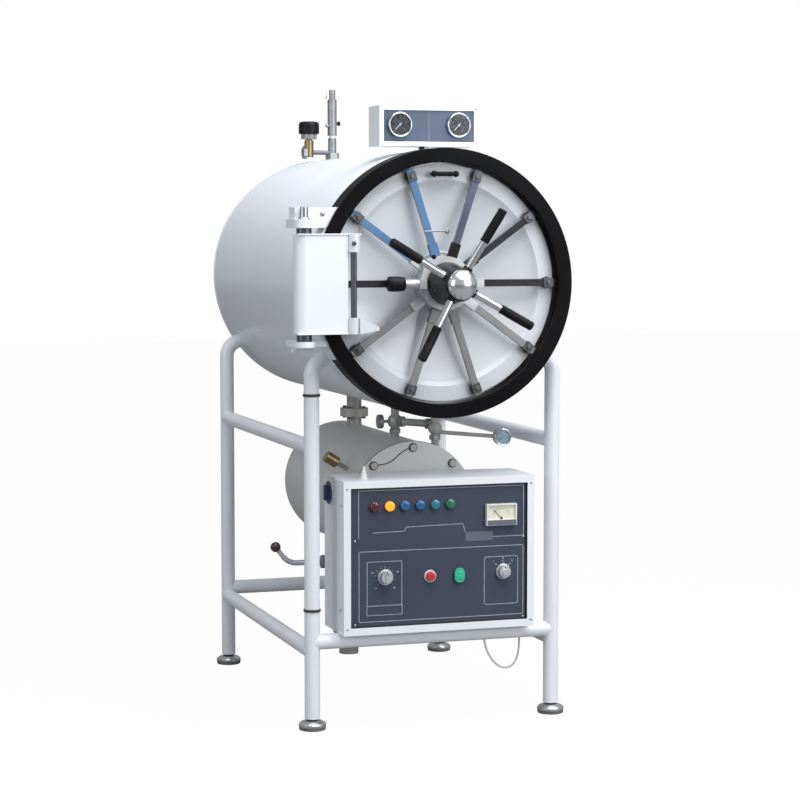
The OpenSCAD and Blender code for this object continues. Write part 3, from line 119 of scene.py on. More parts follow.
@dataclass(frozen=True)
class Finish:
    """The look of one surface, built as a node material.

    Patterns are given as repeats to the metre, and the grain's depth in metres.
    """

    name: str
    colour: Colour
    tint: Colour
    metallic: float = 0.0
    roughness: float = 0.4
    roughness_spread: float = 0.1
    blotch: float = 4.0
    grain: float = 500.0
    grain_depth: float = 0.00004
    stretch: Colour = (1.0, 1.0, 1.0)
    coat: float = 0.0
    specular: float = 0.5
    transmission: float = 0.0
    ior: float = 1.5
    glow: float = 0.0
    coat_roughness: float = 0.12
    blotch_stops: Span = (0.32, 0.72)
    smudge_span: Span = (0.3, 0.7)

    def material(self) -> bpy.types.Material:
        """Builds the material on the first call.

        Returns:
            The material.
        """
        if self.name in bpy.data.materials:
            return bpy.data.materials[self.name]
        material = bpy.data.materials.new(self.name)
        material.use_nodes = True
        shader = material.node_tree.nodes["Principled BSDF"]
        shader.inputs["Metallic"].default_value = self.metallic
        shader.inputs["Coat Weight"].default_value = self.coat
        shader.inputs["Coat Roughness"].default_value = self.coat_roughness
        shader.inputs["Specular IOR Level"].default_value = self.specular
        shader.inputs["Transmission Weight"].default_value = self.transmission
        shader.inputs["IOR"].default_value = self.ior
        if self.glow:
            shader.inputs["Emission Color"].default_value = (*self.colour, 1.0)
            shader.inputs["Emission Strength"].default_value = self.glow
        self._colour_nodes(material, shader)
        self._surface_nodes(material, shader)
        return material

    def _noise(self, material: bpy.types.Material, scale: float, detail: float) -> bpy.types.Node:
        """Adds a noise texture on object coordinates.

        Args:
            material: the material that the texture is added to.
            scale: repeats to the metre.
            detail: octaves of the noise.

        Returns:
            The noise texture's node.
        """
        nodes, links = material.node_tree.nodes, material.node_tree.links
        place = nodes.new("ShaderNodeTexCoord")
        mapping = nodes.new("ShaderNodeMapping")
        mapping.inputs["Scale"].default_value = self.stretch
        noise = nodes.new("ShaderNodeTexNoise")
        noise.inputs["Scale"].default_value = scale
        noise.inputs["Detail"].default_value = detail
        links.new(place.outputs["Object"], mapping.inputs["Vector"])
        links.new(mapping.outputs["Vector"], noise.inputs["Vector"])
        return noise

    def _colour_nodes(self, material: bpy.types.Material, shader: bpy.types.Node) -> None:
        """Mixes the colour and the tint in soft blotches.

        Args:
            material: the material that the nodes are added to.
            shader: its surface shader.
        """
        nodes, links = material.node_tree.nodes, material.node_tree.links
        noise = self._noise(material, self.blotch, 5.0)
        ramp = nodes.new("ShaderNodeValToRGB")
        for stop, position, colour in zip(ramp.color_ramp.elements, self.blotch_stops, (self.colour, self.tint)):
            stop.position = position
            stop.color = (*colour, 1.0)
        links.new(noise.outputs["Fac"], ramp.inputs["Fac"])
        links.new(ramp.outputs["Color"], shader.inputs["Base Color"])

    def _surface_nodes(self, material: bpy.types.Material, shader: bpy.types.Node) -> None:
        """Varies the roughness and adds the grain as a bump.

        Args:
            material: the material that the nodes are added to.
            shader: its surface shader.
        """
        nodes, links = material.node_tree.nodes, material.node_tree.links
        smudge = self._noise(material, self.blotch * 3, 4.0)
        spread = nodes.new("ShaderNodeMapRange")
        half = self.roughness_spread / 2
        spread.inputs["From Min"].default_value, spread.inputs["From Max"].default_value = self.smudge_span
        spread.inputs["To Min"].default_value = max(self.roughness - half, 0.02)
        spread.inputs["To Max"].default_value = min(self.roughness + half, 1.0)
        links.new(smudge.outputs["Fac"], spread.inputs["Value"])
        links.new(spread.outputs["Result"], shader.inputs["Roughness"])
        grain = self._noise(material, self.grain, 3.0)
        bump = nodes.new("ShaderNodeBump")
        bump.inputs["Strength"].default_value = 1.0
        bump.inputs["Distance"].default_value = self.grain_depth
        links.new(grain.outputs["Fac"], bump.inputs["Height"])
        links.new(bump.outputs["Normal"], shader.inputs["Normal"])


WHITE_COAT = Finish("white powder coat", (0.78, 0.81, 0.85), (0.75, 0.78, 0.83), roughness=0.36, grain=420,
                    grain_depth=0.00003, coat=0.15)
BARREL_COAT = Finish("barrel powder coat", (0.78, 0.82, 0.87), (0.75, 0.79, 0.84), roughness=0.33, blotch=1.6,
                     grain=260, grain_depth=0.00003, coat=0.2)
DOOR_PAINT = Finish("door paint", (0.66, 0.69, 0.72), (0.60, 0.63, 0.68), roughness=0.34, blotch=2.2, grain=220,
                    grain_depth=0.00005, coat=0.25)
BOILER_PAINT = Finish("boiler aluminium paint", (0.60, 0.61, 0.60), (0.53, 0.54, 0.535), metallic=0.05,
                      roughness=0.42, blotch=5, grain=900, grain_depth=0.00004)
PIPE_PAINT = Finish("pipe aluminium paint", (0.42, 0.42, 0.39), (0.33, 0.33, 0.30), metallic=0.2, roughness=0.42,
                    blotch=12, grain=700, grain_depth=0.00005)
# Painted shade: the white boss is coloured grey where it lies in shade. Only its ear is given the white coat.
BOSS_PAINTED_SHADE = Finish("boss grey painted shade", (0.54, 0.55, 0.57), (0.46, 0.47, 0.49), metallic=0.2, roughness=0.36,
                    blotch=14, grain=700, grain_depth=0.00003)
RING_ENAMEL = Finish("ring black enamel", (0.003, 0.003, 0.004), (0.006, 0.006, 0.008), roughness=0.42, blotch=6,
                     grain=500, grain_depth=0.00004, specular=0.06)
BLACK_ENAMEL = Finish("drum black enamel", (0.006, 0.006, 0.007), (0.012, 0.012, 0.014), roughness=0.30,
                      blotch=9, grain=380, grain_depth=0.00003, coat=0.08, specular=0.3)
BLACK_GRIP = Finish("grip black plastic", (0.005, 0.005, 0.007), (0.011, 0.011, 0.014), roughness=0.38,
                    blotch=22, grain=1500, grain_depth=0.0001, specular=0.14)
RUBBER = Finish("foot rubber", (0.035, 0.035, 0.037), (0.05, 0.05, 0.05), roughness=0.75, blotch=20, grain=1200,
                grain_depth=0.0001)
PAD_RUBBER = Finish("pad grey rubber", (0.115, 0.115, 0.115), (0.16, 0.16, 0.155), roughness=0.6, blotch=20,
                    grain=1200, grain_depth=0.00008)
SEAL = Finish("silicone seal", (0.62, 0.61, 0.58), (0.55, 0.54, 0.50), roughness=0.6, blotch=12, grain=900)
STEEL = Finish("satin stainless", (0.50, 0.51, 0.52), (0.42, 0.43, 0.45), metallic=1.0, roughness=0.30,
               blotch=8, grain=900, grain_depth=0.00003, stretch=(1.0, 1.0, 0.06))
CHAMBER_STEEL = Finish("chamber stainless", (0.56, 0.57, 0.58), (0.48, 0.49, 0.51), metallic=1.0, roughness=0.33,
                       blotch=5, grain=700, grain_depth=0.00003, stretch=(1.0, 0.08, 1.0))
CHROME = Finish("chrome plate", (0.72, 0.73, 0.75), (0.64, 0.65, 0.68), metallic=1.0, roughness=0.17,
                roughness_spread=0.08, blotch=14, grain=600, grain_depth=0.000004)
CAP_CHROME = Finish("cap satin chrome", (0.80, 0.81, 0.83), (0.77, 0.78, 0.80), metallic=1.0, roughness=0.24,
                    roughness_spread=0.02, blotch=8, grain=900, grain_depth=0.0000008)
FOOT_CHROME = Finish("foot satin chrome", (0.56, 0.57, 0.58), (0.48, 0.49, 0.50), metallic=0.9, roughness=0.32,
                     blotch=26, grain=700, grain_depth=0.00001)
SLEEVE_STEEL = Finish("sleeve satin steel", (0.50, 0.51, 0.52), (0.42, 0.43, 0.44), metallic=0.7, roughness=0.36,
                      blotch=18, grain=900, grain_depth=0.00001)
# Painted reflections: one steel is given a bright, sky blue, dim blue or dark colour per arm. The colour stands in for
# the sky or floor that each arm reflects at its angle.
ARM_BRIGHT_REFLECTION = Finish("arm steel painted bright reflection", (0.25, 0.255, 0.26), (0.19, 0.195, 0.20), metallic=0.55, roughness=0.40,
                    blotch=7, grain=900, grain_depth=0.00001)
ARM_SKY_REFLECTION = Finish("arm steel painted sky reflection", (0.055, 0.15, 0.30), (0.10, 0.20, 0.34), metallic=0.45, roughness=0.34,
                  blotch=7, grain=900, grain_depth=0.00001)
ARM_DIM_SKY_REFLECTION = Finish("arm steel painted dim sky reflection", (0.055, 0.068, 0.125), (0.09, 0.10, 0.16), metallic=0.5, roughness=0.34,
                   blotch=9, grain=900, grain_depth=0.00001)
ARM_DARK_REFLECTION = Finish("arm steel painted dark reflection", (0.013, 0.014, 0.018), (0.024, 0.025, 0.031), metallic=0.15, roughness=0.40,
                  blotch=9, grain=900, grain_depth=0.00001, specular=0.25)
ARM_EDGE = Finish("arm ground edge", (0.34, 0.35, 0.37), (0.27, 0.28, 0.30), metallic=0.7, roughness=0.36,
                  blotch=12, grain=1200, grain_depth=0.00001)
GUIDE_DARK = Finish("rim guide dark steel", (0.07, 0.072, 0.078), (0.11, 0.112, 0.12), metallic=0.8,
                    roughness=0.38, blotch=20, grain=800, grain_depth=0.00005)
DARK_STEEL = Finish("oiled dark steel", (0.13, 0.14, 0.155), (0.09, 0.10, 0.115), metallic=0.9, roughness=0.35,
                    blotch=24, grain=900, grain_depth=0.00006, stretch=(1.0, 1.0, 0.1))
VALVE_STEEL = Finish("valve satin steel", (0.33, 0.34, 0.35), (0.25, 0.26, 0.27), metallic=0.75, roughness=0.42,
                     blotch=26, grain=900, grain_depth=0.00001)
BRASS = Finish("worn brass", (0.36, 0.28, 0.14), (0.22, 0.17, 0.09), metallic=0.9, roughness=0.34, blotch=30,
               grain=900, grain_depth=0.00006)
PANEL_SHEET = Finish("panel slate sheet", (0.043, 0.053, 0.082), (0.052, 0.063, 0.094), roughness=0.45, blotch=5,
                     grain=1400, grain_depth=0.00003, specular=0.25)
PANEL_BAND = Finish("panel lighter band", (0.105, 0.118, 0.155), (0.12, 0.135, 0.17), roughness=0.42, blotch=9,
                    grain=1400, grain_depth=0.00003)
GAUGE_SHEET = Finish("gauge box blue sheet", (0.050, 0.072, 0.125), (0.060, 0.085, 0.145), roughness=0.4, blotch=8,
                     grain=1400, grain_depth=0.00003, coat=0.1)
DIAL_BLACK = Finish("dial black", (0.010, 0.012, 0.016), (0.018, 0.021, 0.026), roughness=0.3, blotch=30)
DIAL_WHITE = Finish("dial white", (0.72, 0.73, 0.70), (0.66, 0.67, 0.64), roughness=0.5, blotch=40)
DIAL_IVORY = Finish("dial ivory", (0.74, 0.73, 0.62), (0.68, 0.67, 0.56), roughness=0.5, blotch=40)
DIAL_BLUE = Finish("dial pale blue", (0.38, 0.50, 0.58), (0.30, 0.42, 0.50), roughness=0.45, blotch=40)
MARK_WHITE = Finish("printed white", (0.58, 0.61, 0.68), (0.46, 0.50, 0.58), roughness=0.5, blotch=60)
MARK_GREY = Finish("printed light line", (0.42, 0.46, 0.54), (0.30, 0.34, 0.42), roughness=0.5, blotch=60)
MARK_BLACK = Finish("printed black", (0.015, 0.015, 0.017), (0.03, 0.03, 0.03), roughness=0.5, blotch=60)
KNOB_SILVER = Finish("knob satin aluminium", (0.60, 0.62, 0.66), (0.52, 0.54, 0.58), metallic=0.6, roughness=0.3,
                     blotch=30, grain=900)
PALE_PLASTIC = Finish("pale grey plastic", (0.62, 0.64, 0.67), (0.56, 0.58, 0.61), roughness=0.38, blotch=20,
                      grain=1100, grain_depth=0.00005)
GLASS = Finish("gauge glass", (0.95, 0.97, 0.98), (0.92, 0.95, 0.97), roughness=0.04, roughness_spread=0.04,
               transmission=1.0, blotch=10, grain_depth=0.000002, ior=1.1)
LAMP_DARK_RED = Finish("lamp dark red", (0.060, 0.008, 0.016), (0.09, 0.012, 0.022), roughness=0.18, coat=0.6,
                       blotch=60)
LAMP_ORANGE = Finish("lamp orange", (0.85, 0.28, 0.01), (0.95, 0.40, 0.02), roughness=0.2, coat=0.6, glow=0.9,
                     blotch=60)
LAMP_BLUE = Finish("lamp blue", (0.008, 0.095, 0.25), (0.014, 0.12, 0.31), roughness=0.2, coat=0.6, blotch=60)
LAMP_TEAL = Finish("lamp teal", (0.006, 0.14, 0.22), (0.012, 0.19, 0.26), roughness=0.2, coat=0.6, blotch=60)
LAMP_GREEN = Finish("lamp green", (0.006, 0.12, 0.07), (0.012, 0.18, 0.13), roughness=0.2, coat=0.6, blotch=60)
STOP_RED = Finish("button red", (0.60, 0.030, 0.025), (0.48, 0.02, 0.02), roughness=0.25, coat=0.5, blotch=50)
START_GREEN = Finish("button green", (0.02, 0.40, 0.22), (0.03, 0.48, 0.28), roughness=0.25, coat=0.5, blotch=50)
SWITCH_BLUE = Finish("switch dark blue", (0.012, 0.030, 0.09), (0.02, 0.04, 0.12), roughness=0.3, coat=0.4,
                     blotch=40)
LEVER_BALL = Finish("lever ball dark red", (0.07, 0.008, 0.008), (0.02, 0.005, 0.005), roughness=0.2, coat=0.6,
                    blotch=40)
GEAR_PLASTIC = Finish("contactor plastic", (0.40, 0.41, 0.42), (0.34, 0.35, 0.36), roughness=0.5, blotch=20)
WOOL = Finish("mineral wool", (0.58, 0.48, 0.26), (0.44, 0.36, 0.20), roughness=0.95, blotch=40, grain=900,
              grain_depth=0.0008)
TUBE_WHITE = Finish("white tube", (0.74, 0.74, 0.72), (0.64, 0.64, 0.62), roughness=0.4, blotch=30, grain=600)
FLOOR_PALE = Finish("floor pale", (0.24, 0.24, 0.245), (0.22, 0.22, 0.225), roughness=0.9, blotch=0.4, grain=40,
                    grain_depth=0.00002, specular=0.1)


class Bench:
    """The modelling steps that the pieces share. Every finished piece sits at the origin, unturned and unscaled."""

    @staticmethod
    def clear() -> None:
        """Deselects everything and leaves edit mode."""
        if bpy.context.object is not None and bpy.context.object.mode != "OBJECT":
            bpy.ops.object.mode_set(mode="OBJECT")
        bpy.ops.object.select_all(action="DESELECT")

    @classmethod
    def pick(cls, piece: bpy.types.Object) -> None:
        """Makes one object the only selected and active one.

        Args:
            piece: that object.
        """
        cls.clear()
        piece.select_set(True)
        bpy.context.view_layer.objects.active = piece

    @classmethod
    def settle(cls, piece: bpy.types.Object, name: str) -> bpy.types.Object:
        """Names a piece and writes its place, turn and size into its mesh.

        Args:
            piece: the piece.
            name: its name.

        Returns:
            The same piece.
        """
        cls.pick(piece)
        bpy.ops.object.transform_apply(location=True, rotation=True, scale=True)
        piece.name = name
        piece.data.name = name
        return piece

    @classmethod
    def soften(cls, piece: bpy.types.Object, width: float, segments: int = 2, angle: float = 30.0) -> None:
        """Rounds a piece's sharp edges and shades it smooth.

        Args:
            piece: the piece.
            width: the rounding in millimetres, or 0 for none.
            segments: steps of the rounding.
            angle: degrees from which an edge is sharp.
        """
        cls.pick(piece)
        if width > 0:
            rounding = piece.modifiers.new("rounding", "BEVEL")
            rounding.width = width * MM
            rounding.segments = segments
            rounding.limit_method = "ANGLE"
            rounding.angle_limit = math.radians(angle)
            bpy.ops.object.modifier_apply(modifier=rounding.name)
        bpy.ops.object.shade_smooth_by_angle(angle=math.radians(angle))
        if width > 0:
            weighting = piece.modifiers.new("weighting", "WEIGHTED_NORMAL")
            weighting.keep_sharp = True
            bpy.ops.object.modifier_apply(modifier=weighting.name)

    @classmethod
    def turned(cls, name: str, outline: Outline, seat: Matrix, sides: int = 48, soft: float = 0.4,
               flutes: int = 0, flute_span: Span = (0.0, 0.0), flute_depth: float = 0.0,
               smooth: float = 30.0) -> bpy.types.Object:
        """Spins an outline round the seat's Z, as on a lathe.

        Args:
            name: the piece's name.
            outline: (radius, height) points in millimetres, from one end to the other.
            seat: the piece's place and turn.
            sides: steps of the spin.
            soft: rounding of the sharp edges in millimetres.
            flutes: grip flutes round the piece, each four steps of the spin wide.
            flute_span: heights between which the flutes run.
            flute_depth: their depth.
            smooth: angle in degrees up to which faces are shaded as one.

        Returns:
            The finished piece.
        """
        cls.clear()
        bpy.ops.mesh.primitive_plane_add(size=MM, location=(0, 0, 0))
        piece = bpy.context.active_object
        bpy.ops.object.mode_set(mode="EDIT")
        bpy.ops.mesh.select_all(action="SELECT")
        bpy.ops.mesh.merge(type="CENTER")
        points = [Vector((radius, 0.0, height)) * MM for radius, height in outline]
        bpy.ops.transform.translate(value=points[0])
        for before, after in zip(points, points[1:]):
            bpy.ops.mesh.extrude_region_move(TRANSFORM_OT_translate={"value": after - before})
        bpy.ops.mesh.select_all(action="SELECT")
        steps = flutes * 4 or sides
        bpy.ops.mesh.spin(steps=steps, angle=FULL_TURN, center=(0, 0, 0), axis=(0, 0, 1))
        bpy.ops.mesh.select_all(action="SELECT")
        bpy.ops.mesh.remove_doubles(threshold=NEARLY_ONE)
        bpy.ops.mesh.normals_make_consistent(inside=False)
        if flutes:
            cls._flute(piece, steps, flute_span, flute_depth)
        bpy.ops.object.mode_set(mode="OBJECT")
        piece.matrix_world = seat
        cls.settle(piece, name)
        cls.soften(piece, soft, angle=smooth)
        return piece

    @staticmethod
    def _flute(piece: bpy.types.Object, steps: int, span: Span, depth: float) -> None:
        """Draws in every other pair of the spin's lines, in edit mode.

        Args:
            piece: the spun piece.
            steps: steps of its spin.
            span: heights between which the flutes run, in millimetres.
            depth: their depth in millimetres.
        """
        bpy.ops.mesh.select_all(action="DESELECT")
        bpy.ops.object.mode_set(mode="OBJECT")
        reach = 0.0
        for vertex in piece.data.vertices:
            step = round(math.atan2(vertex.co.y, vertex.co.x) / FULL_TURN * steps) % 4
            radius = math.hypot(vertex.co.x, vertex.co.y)
            inside = span[0] * MM <= vertex.co.z <= span[1] * MM
            vertex.select = inside and step >= 2 and radius > depth * 2 * MM
            if vertex.select:
                reach = max(reach, radius)
        bpy.ops.object.mode_set(mode="EDIT")
        share = 1 - depth * MM / reach
        bpy.ops.transform.resize(value=(share, share, 1.0), center_override=(0.0, 0.0, 0.0))

    @classmethod
    def block(cls, name: str, low: Sequence[float], high: Sequence[float], soft: float = 0.6,
              seat: Optional[Matrix] = None) -> bpy.types.Object:
        """Makes a box between two corners in millimetres and rounds its edges.

        Args:
            name: the piece's name.
            low: its lowest corner.
            high: its highest corner.
            soft: rounding of its edges.
            seat: what the corners are measured in, or nothing for the machine's floor point.

        Returns:
            The finished piece.
        """
        cls.clear()
        bpy.ops.mesh.primitive_cube_add(size=1.0, location=(0, 0, 0))
        piece = bpy.context.active_object
        middle, size = (Vector(low) + Vector(high)) / 2, Vector(high) - Vector(low)
        stretch = Matrix.Diagonal((*(size * MM), 1.0))
        base = Matrix.Translation(ORIGIN) if seat is None else seat
        piece.matrix_world = base @ Matrix.Translation(middle * MM) @ stretch
        cls.settle(piece, name)
        cls.soften(piece, soft, 3)
        return piece

    @classmethod
    def card(cls, name: str, low: Sequence[float], high: Sequence[float], face: float, lift: float,
             corner: float, border: float = 0.0, soft: float = 0.0) -> bpy.types.Object:
        """Makes a plate with rounded corners that faces the front, or only its border.

        Args:
            name: the piece's name.
            low: its lowest (x, z) in millimetres.
            high: its highest (x, z).
            face: the y of its back.
            lift: its thickness towards the front.
            corner: the corners' radius.
            border: the border's width, or 0 for the whole plate.
            soft: rounding of the edges.

        Returns:
            The finished piece.
        """
        cls.clear()
        bpy.ops.mesh.primitive_plane_add(size=1.0, location=(0, 0, 0))
        piece = bpy.context.active_object
        piece.scale = ((high[0] - low[0]) * MM, (high[1] - low[1]) * MM, 1.0)
        piece.rotation_euler = Facing.FRONT.value
        piece.location = at((low[0] + high[0]) / 2, face, (low[1] + high[1]) / 2)
        cls.settle(piece, name)
        bpy.ops.object.mode_set(mode="EDIT")
        bpy.ops.mesh.select_all(action="SELECT")
        if corner > 0:
            bpy.ops.mesh.bevel(offset=corner * MM, segments=6, affect="VERTICES")
            bpy.ops.mesh.select_all(action="SELECT")
        if border > 0:
            bpy.ops.mesh.inset(thickness=border * MM, depth=0.0)
            bpy.ops.mesh.delete(type="FACE")
            bpy.ops.mesh.select_all(action="SELECT")
        bpy.ops.mesh.extrude_region_move(TRANSFORM_OT_translate={"value": (0.0, -lift * MM, 0.0)})
        bpy.ops.mesh.select_all(action="SELECT")
        bpy.ops.mesh.normals_make_consistent(inside=False)
        bpy.ops.object.mode_set(mode="OBJECT")
        cls.soften(piece, soft)
        return piece

    @classmethod
    def rod(cls, name: str, points: Sequence[Sequence[float]], radius: float) -> bpy.types.Object:
        """Makes a round rod with closed ends.

        Args:
            name: the piece's name.
            points: its smooth route, in millimetres.
            radius: its radius in millimetres.

        Returns:
            The finished piece.
        """
        piece = cls.route(name, points, radius, 8)
        piece.data.use_fill_caps = True
        cls.pick(piece)
        bpy.ops.object.convert(target="MESH")
        bpy.ops.object.shade_smooth_by_angle(angle=math.radians(40))
        return bpy.context.active_object

    @staticmethod
    def route(name: str, points: Sequence[Sequence[float]], radius: float, steps: int) -> bpy.types.Object:
        """Makes a round curve along a smooth route.

        Args:
            name: the piece's name.
            points: the route, in millimetres.
            radius: the curve's radius in millimetres.
            steps: steps between two points.

        Returns:
            The curve's object.
        """
        data = bpy.data.curves.new(name, "CURVE")
        data.dimensions = "3D"
        data.bevel_depth = radius * MM
        data.bevel_resolution = 5
        data.resolution_u = steps
        spline = data.splines.new("NURBS")
        spline.points.add(len(points) - 1)
        for spot, point in zip(spline.points, points):
            spot.co = (*at(*point), 1.0)
        spline.use_endpoint_u = True
        spline.order_u = 3
        piece = bpy.data.objects.new(name, data)
        bpy.context.scene.collection.objects.link(piece)
        return piece

    @classmethod
    def words(cls, name: str, text: str, height: float, seat: Matrix, lift: float = 0.2) -> bpy.types.Object:
        """Makes flat raised figures that are centred on the seat.

        Args:
            name: the piece's name.
            text: plain numbers or signs.
            height: their height in millimetres.
            seat: their place, with Z out of the surface.
            lift: their thickness.

        Returns:
            The finished piece.
        """
        cls.clear()
        bpy.ops.object.text_add(location=(0, 0, 0))
        piece = bpy.context.active_object
        piece.data.body = text
        piece.data.size = height * MM * LETTER_SIZE
        piece.data.extrude = lift * MM
        piece.data.resolution_u = 3
        piece.data.align_x = "CENTER"
        piece.data.align_y = "CENTER"
        bpy.ops.object.convert(target="MESH")
        piece = bpy.context.active_object
        piece.matrix_world = seat
        return cls.settle(piece, name)

    @classmethod
    def moulded(cls, node: str, width: float, segments: int = 2, angle: float = 30.0) -> bpy.types.Object:
        """Copies a CAD node's mesh, merges it and rounds its edges.

        Args:
            node: the CAD node.
            width: the rounding in millimetres, or 0 for none.
            segments: steps of the rounding.
            angle: degrees from which an edge is sharp.

        Returns:
            The finished copy.
        """
        source = frame["nodes"][node]
        piece = source.copy()
        piece.data = source.data.copy()
        for key in list(piece.keys()):
            del piece[key]
        piece.parent = None
        bpy.context.scene.collection.objects.link(piece)
        cls.pick(piece)
        piece.name = node + "_shell"
        piece.data.name = piece.name
        bpy.ops.object.mode_set(mode="EDIT")
        bpy.ops.mesh.select_all(action="SELECT")
        bpy.ops.mesh.remove_doubles(threshold=2 * NEARLY_ONE)
        bpy.ops.mesh.dissolve_limited(angle_limit=math.radians(0.5))
        bpy.ops.object.mode_set(mode="OBJECT")
        if piece.data.has_custom_normals:
            bpy.ops.mesh.customdata_custom_splitnormals_clear()
        cls.soften(piece, width, segments, angle)
        return piece

    @staticmethod
    def copy(piece: bpy.types.Object, move: Matrix) -> bpy.types.Object:
        """Copies a piece with its own mesh.

        Args:
            piece: the piece.
            move: where the copy goes from there.

        Returns:
            The copy.
        """
        twin = piece.copy()
        twin.data = piece.data.copy()
        twin.data.transform(move)
        bpy.context.scene.collection.objects.link(twin)
        return twin

    @classmethod
    def ringed(cls, piece: bpy.types.Object, centre: Vector, angles: Sequence[float]) -> list[bpy.types.Object]:
        """Repeats a piece round a line that runs from front to back.

        Args:
            piece: the first one, at angle zero.
            centre: a point on that line, in metres.
            angles: the copies' angles in degrees.

        Returns:
            The first piece and its copies.
        """
        there, back = Matrix.Translation(centre), Matrix.Translation(-centre)
        turns = (Matrix.Rotation(math.radians(angle), 4, "Y") for angle in angles)
        return [piece] + [cls.copy(piece, there @ turn @ back) for turn in turns]

    @classmethod
    def joined(cls, name: str, pieces: Sequence[bpy.types.Object]) -> bpy.types.Object:
        """Joins several pieces into one object.

        Args:
            name: the object's name.
            pieces: the pieces.

        Returns:
            The object.
        """
        cls.clear()
        for piece in pieces:
            piece.select_set(True)
        bpy.context.view_layer.objects.active = pieces[0]
        if len(pieces) > 1:
            bpy.ops.object.join()
        result = bpy.context.active_object
        result.name = name
        result.data.name = name
        return result


def body_of(node: str) -> str:
    """The body that a CAD node belongs to."""
    bodies = frame["record"]["behaviour"]["bodies"]
    return next(body for body, members in bodies.items() if node in members)


def mount(piece: bpy.types.Object, node: str, replaces: bool) -> bpy.types.Object:
    """Gives a dressed piece the body of a CAD node, and reports it.

    Args:
        piece: the piece, with its materials on.
        node: the CAD node that it stands for, or that it is fitted to.
        replaces: whether it stands for that node.

    Returns:
        The same piece.
    """
    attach(piece, body_of(node))
    if replaces:
        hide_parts(node)
    looks = ", ".join(material.name for material in piece.data.materials)
    LOG.info("%s, %s %s: %s", piece.name, "for" if replaces else "on", node, looks)
    return piece


def paint(piece: bpy.types.Object, finish: Finish) -> None:
    """Gives a piece one finish all over."""
    piece.data.materials.clear()
    piece.data.materials.append(finish.material())


def fit(piece: bpy.types.Object, finish: Finish, node: str, replaces: bool = True) -> bpy.types.Object:
    """Gives a piece its finish, and its body from the CAD node that it belongs to.

    Args:
        piece: the finished object.
        finish: its look.
        node: the CAD node that it stands for, or that it is fitted to.
        replaces: whether it stands for that node.

    Returns:
        The same piece.
    """
    paint(piece, finish)
    return mount(piece, node, replaces)


def trim(piece: bpy.types.Object, finish: Finish, node: str) -> bpy.types.Object:
    """Fits a small piece that stands for no CAD node to the body of one."""
    return fit(piece, finish, node, replaces=False)


def second_finish(piece: bpy.types.Object, finish: Finish, test: Test) -> None:
    """Gives some faces of a piece another finish.

    Args:
        piece: a piece that has its first finish.
        finish: the other one.
        test: told a face's middle, in the machine's millimetres, and its normal.
    """
    piece.data.materials.append(finish.material())
    index = len(piece.data.materials) - 1
    for face in piece.data.polygons:
        if test(local(face.center), face.normal):
            face.material_index = index


def mould(node: str, finish: Finish, width: float, segments: int = 2, angle: float = 30.0) -> bpy.types.Object:
    """Replaces a CAD node with a copy that has rounded edges."""
    return fit(Bench.moulded(node, width, segments, angle), finish, node)


def hex_bolt(name: str, seat: Matrix, across: float, height: float, washer: float = 0.0) -> bpy.types.Object:
    """Makes a six-sided bolt head with a domed top, and a washer under it where one is asked for.

    Args:
        name: the piece's name.
        seat: the place of the surface that it stands on, with Z out of it.
        across: its width over the corners.
        height: its height.
        washer: the washer's diameter, or 0 for none.

    Returns:
        The finished piece.
    """
    reach = across / 2
    head = Bench.turned(name, [(0, 0), (reach, 0), (reach, height * 0.8), (reach * 0.84, height), (0, height)],
                        seat, sides=6, soft=0.3, smooth=20)
    if not washer:
        return head
    ring = Bench.turned(name + "_washer", [(0, 0), (washer / 2, 0), (washer / 2, 1.6), (0, 1.6)], seat, 28)
    return Bench.joined(name, [head, ring])


def round_screw(name: str, seat: Matrix, radius: float) -> bpy.types.Object:
    """Makes a domed screw head with a cross recess.

    Args:
        name: the piece's name.
        seat: the place of the surface that it stands on, with Z out of it.
        radius: the head's radius.

    Returns:
        The finished piece.
    """
    height = radius * 0.45
    return Bench.turned(name, [
        (0, 0), (radius, 0), (radius, height * 0.35), (radius * 0.8, height * 0.8), (radius * 0.45, height),
        (radius * 0.3, height), (radius * 0.22, height * 0.3), (0, height * 0.2),
    ], seat, 20, soft=0.0, smooth=40)


def dressed(name: str, parts: Sequence[tuple[bpy.types.Object, Finish]], node: str,
            replaces: bool = True) -> bpy.types.Object:
    """Joins pieces of different finishes into one object.

    Args:
        name: the object's name.
        parts: the finished pieces, each with its look.
        node: the CAD node that the object stands for, or that it is fitted to.
        replaces: whether it stands for that node.

    Returns:
        The object.
    """
    for piece, finish in parts:
        paint(piece, finish)
    return mount(Bench.joined(name, [piece for piece, _ in parts]), node, replaces)


def keep(node: str, finish: Finish) -> None:
    """Gives a CAD node that is shown as it is a detailed finish.

    Args:
        node: the CAD node.
        finish: its look.
    """
    for slot in frame["nodes"][node].material_slots:
        slot.material = finish.material()
    LOG.info("%s, kept: %s", node, finish.name)


def line_from(start: Sequence[float], end: Sequence[float]) -> Matrix:
    """The place of a start point, with Z turned towards an end point."""
    towards = at(*end) - at(*start)
    return Matrix.Translation(at(*start)) @ towards.to_track_quat("Z", "Y").to_matrix().to_4x4()


def strokes(name: str, centre: Sequence[float], radii: Span, angles: Sequence[float],
            width: float, face: float, lift: float = PRINT_LIFT) -> bpy.types.Object:
    """Makes short radial marks on a surface that faces the front.

    Args:
        name: the piece's name.
        centre: the marks' common middle as (x, z) in millimetres.
        radii: their inner and outer ends.
        angles: their angles in degrees as seen from the front, from the right.
        width: a mark's width.
        face: the surface's y.
        lift: the marks' thickness.

    Returns:
        The finished piece.
    """
    marks = []
    for angle in angles:
        seat = Matrix.Translation(at(centre[0], face, centre[1])) @ Matrix.Rotation(-math.radians(angle), 4, "Y")
        marks.append(Bench.block(name, (radii[0], -lift, -width / 2), (radii[1], 0, width / 2), MARK_EDGE, seat))
    return Bench.joined(name, marks)


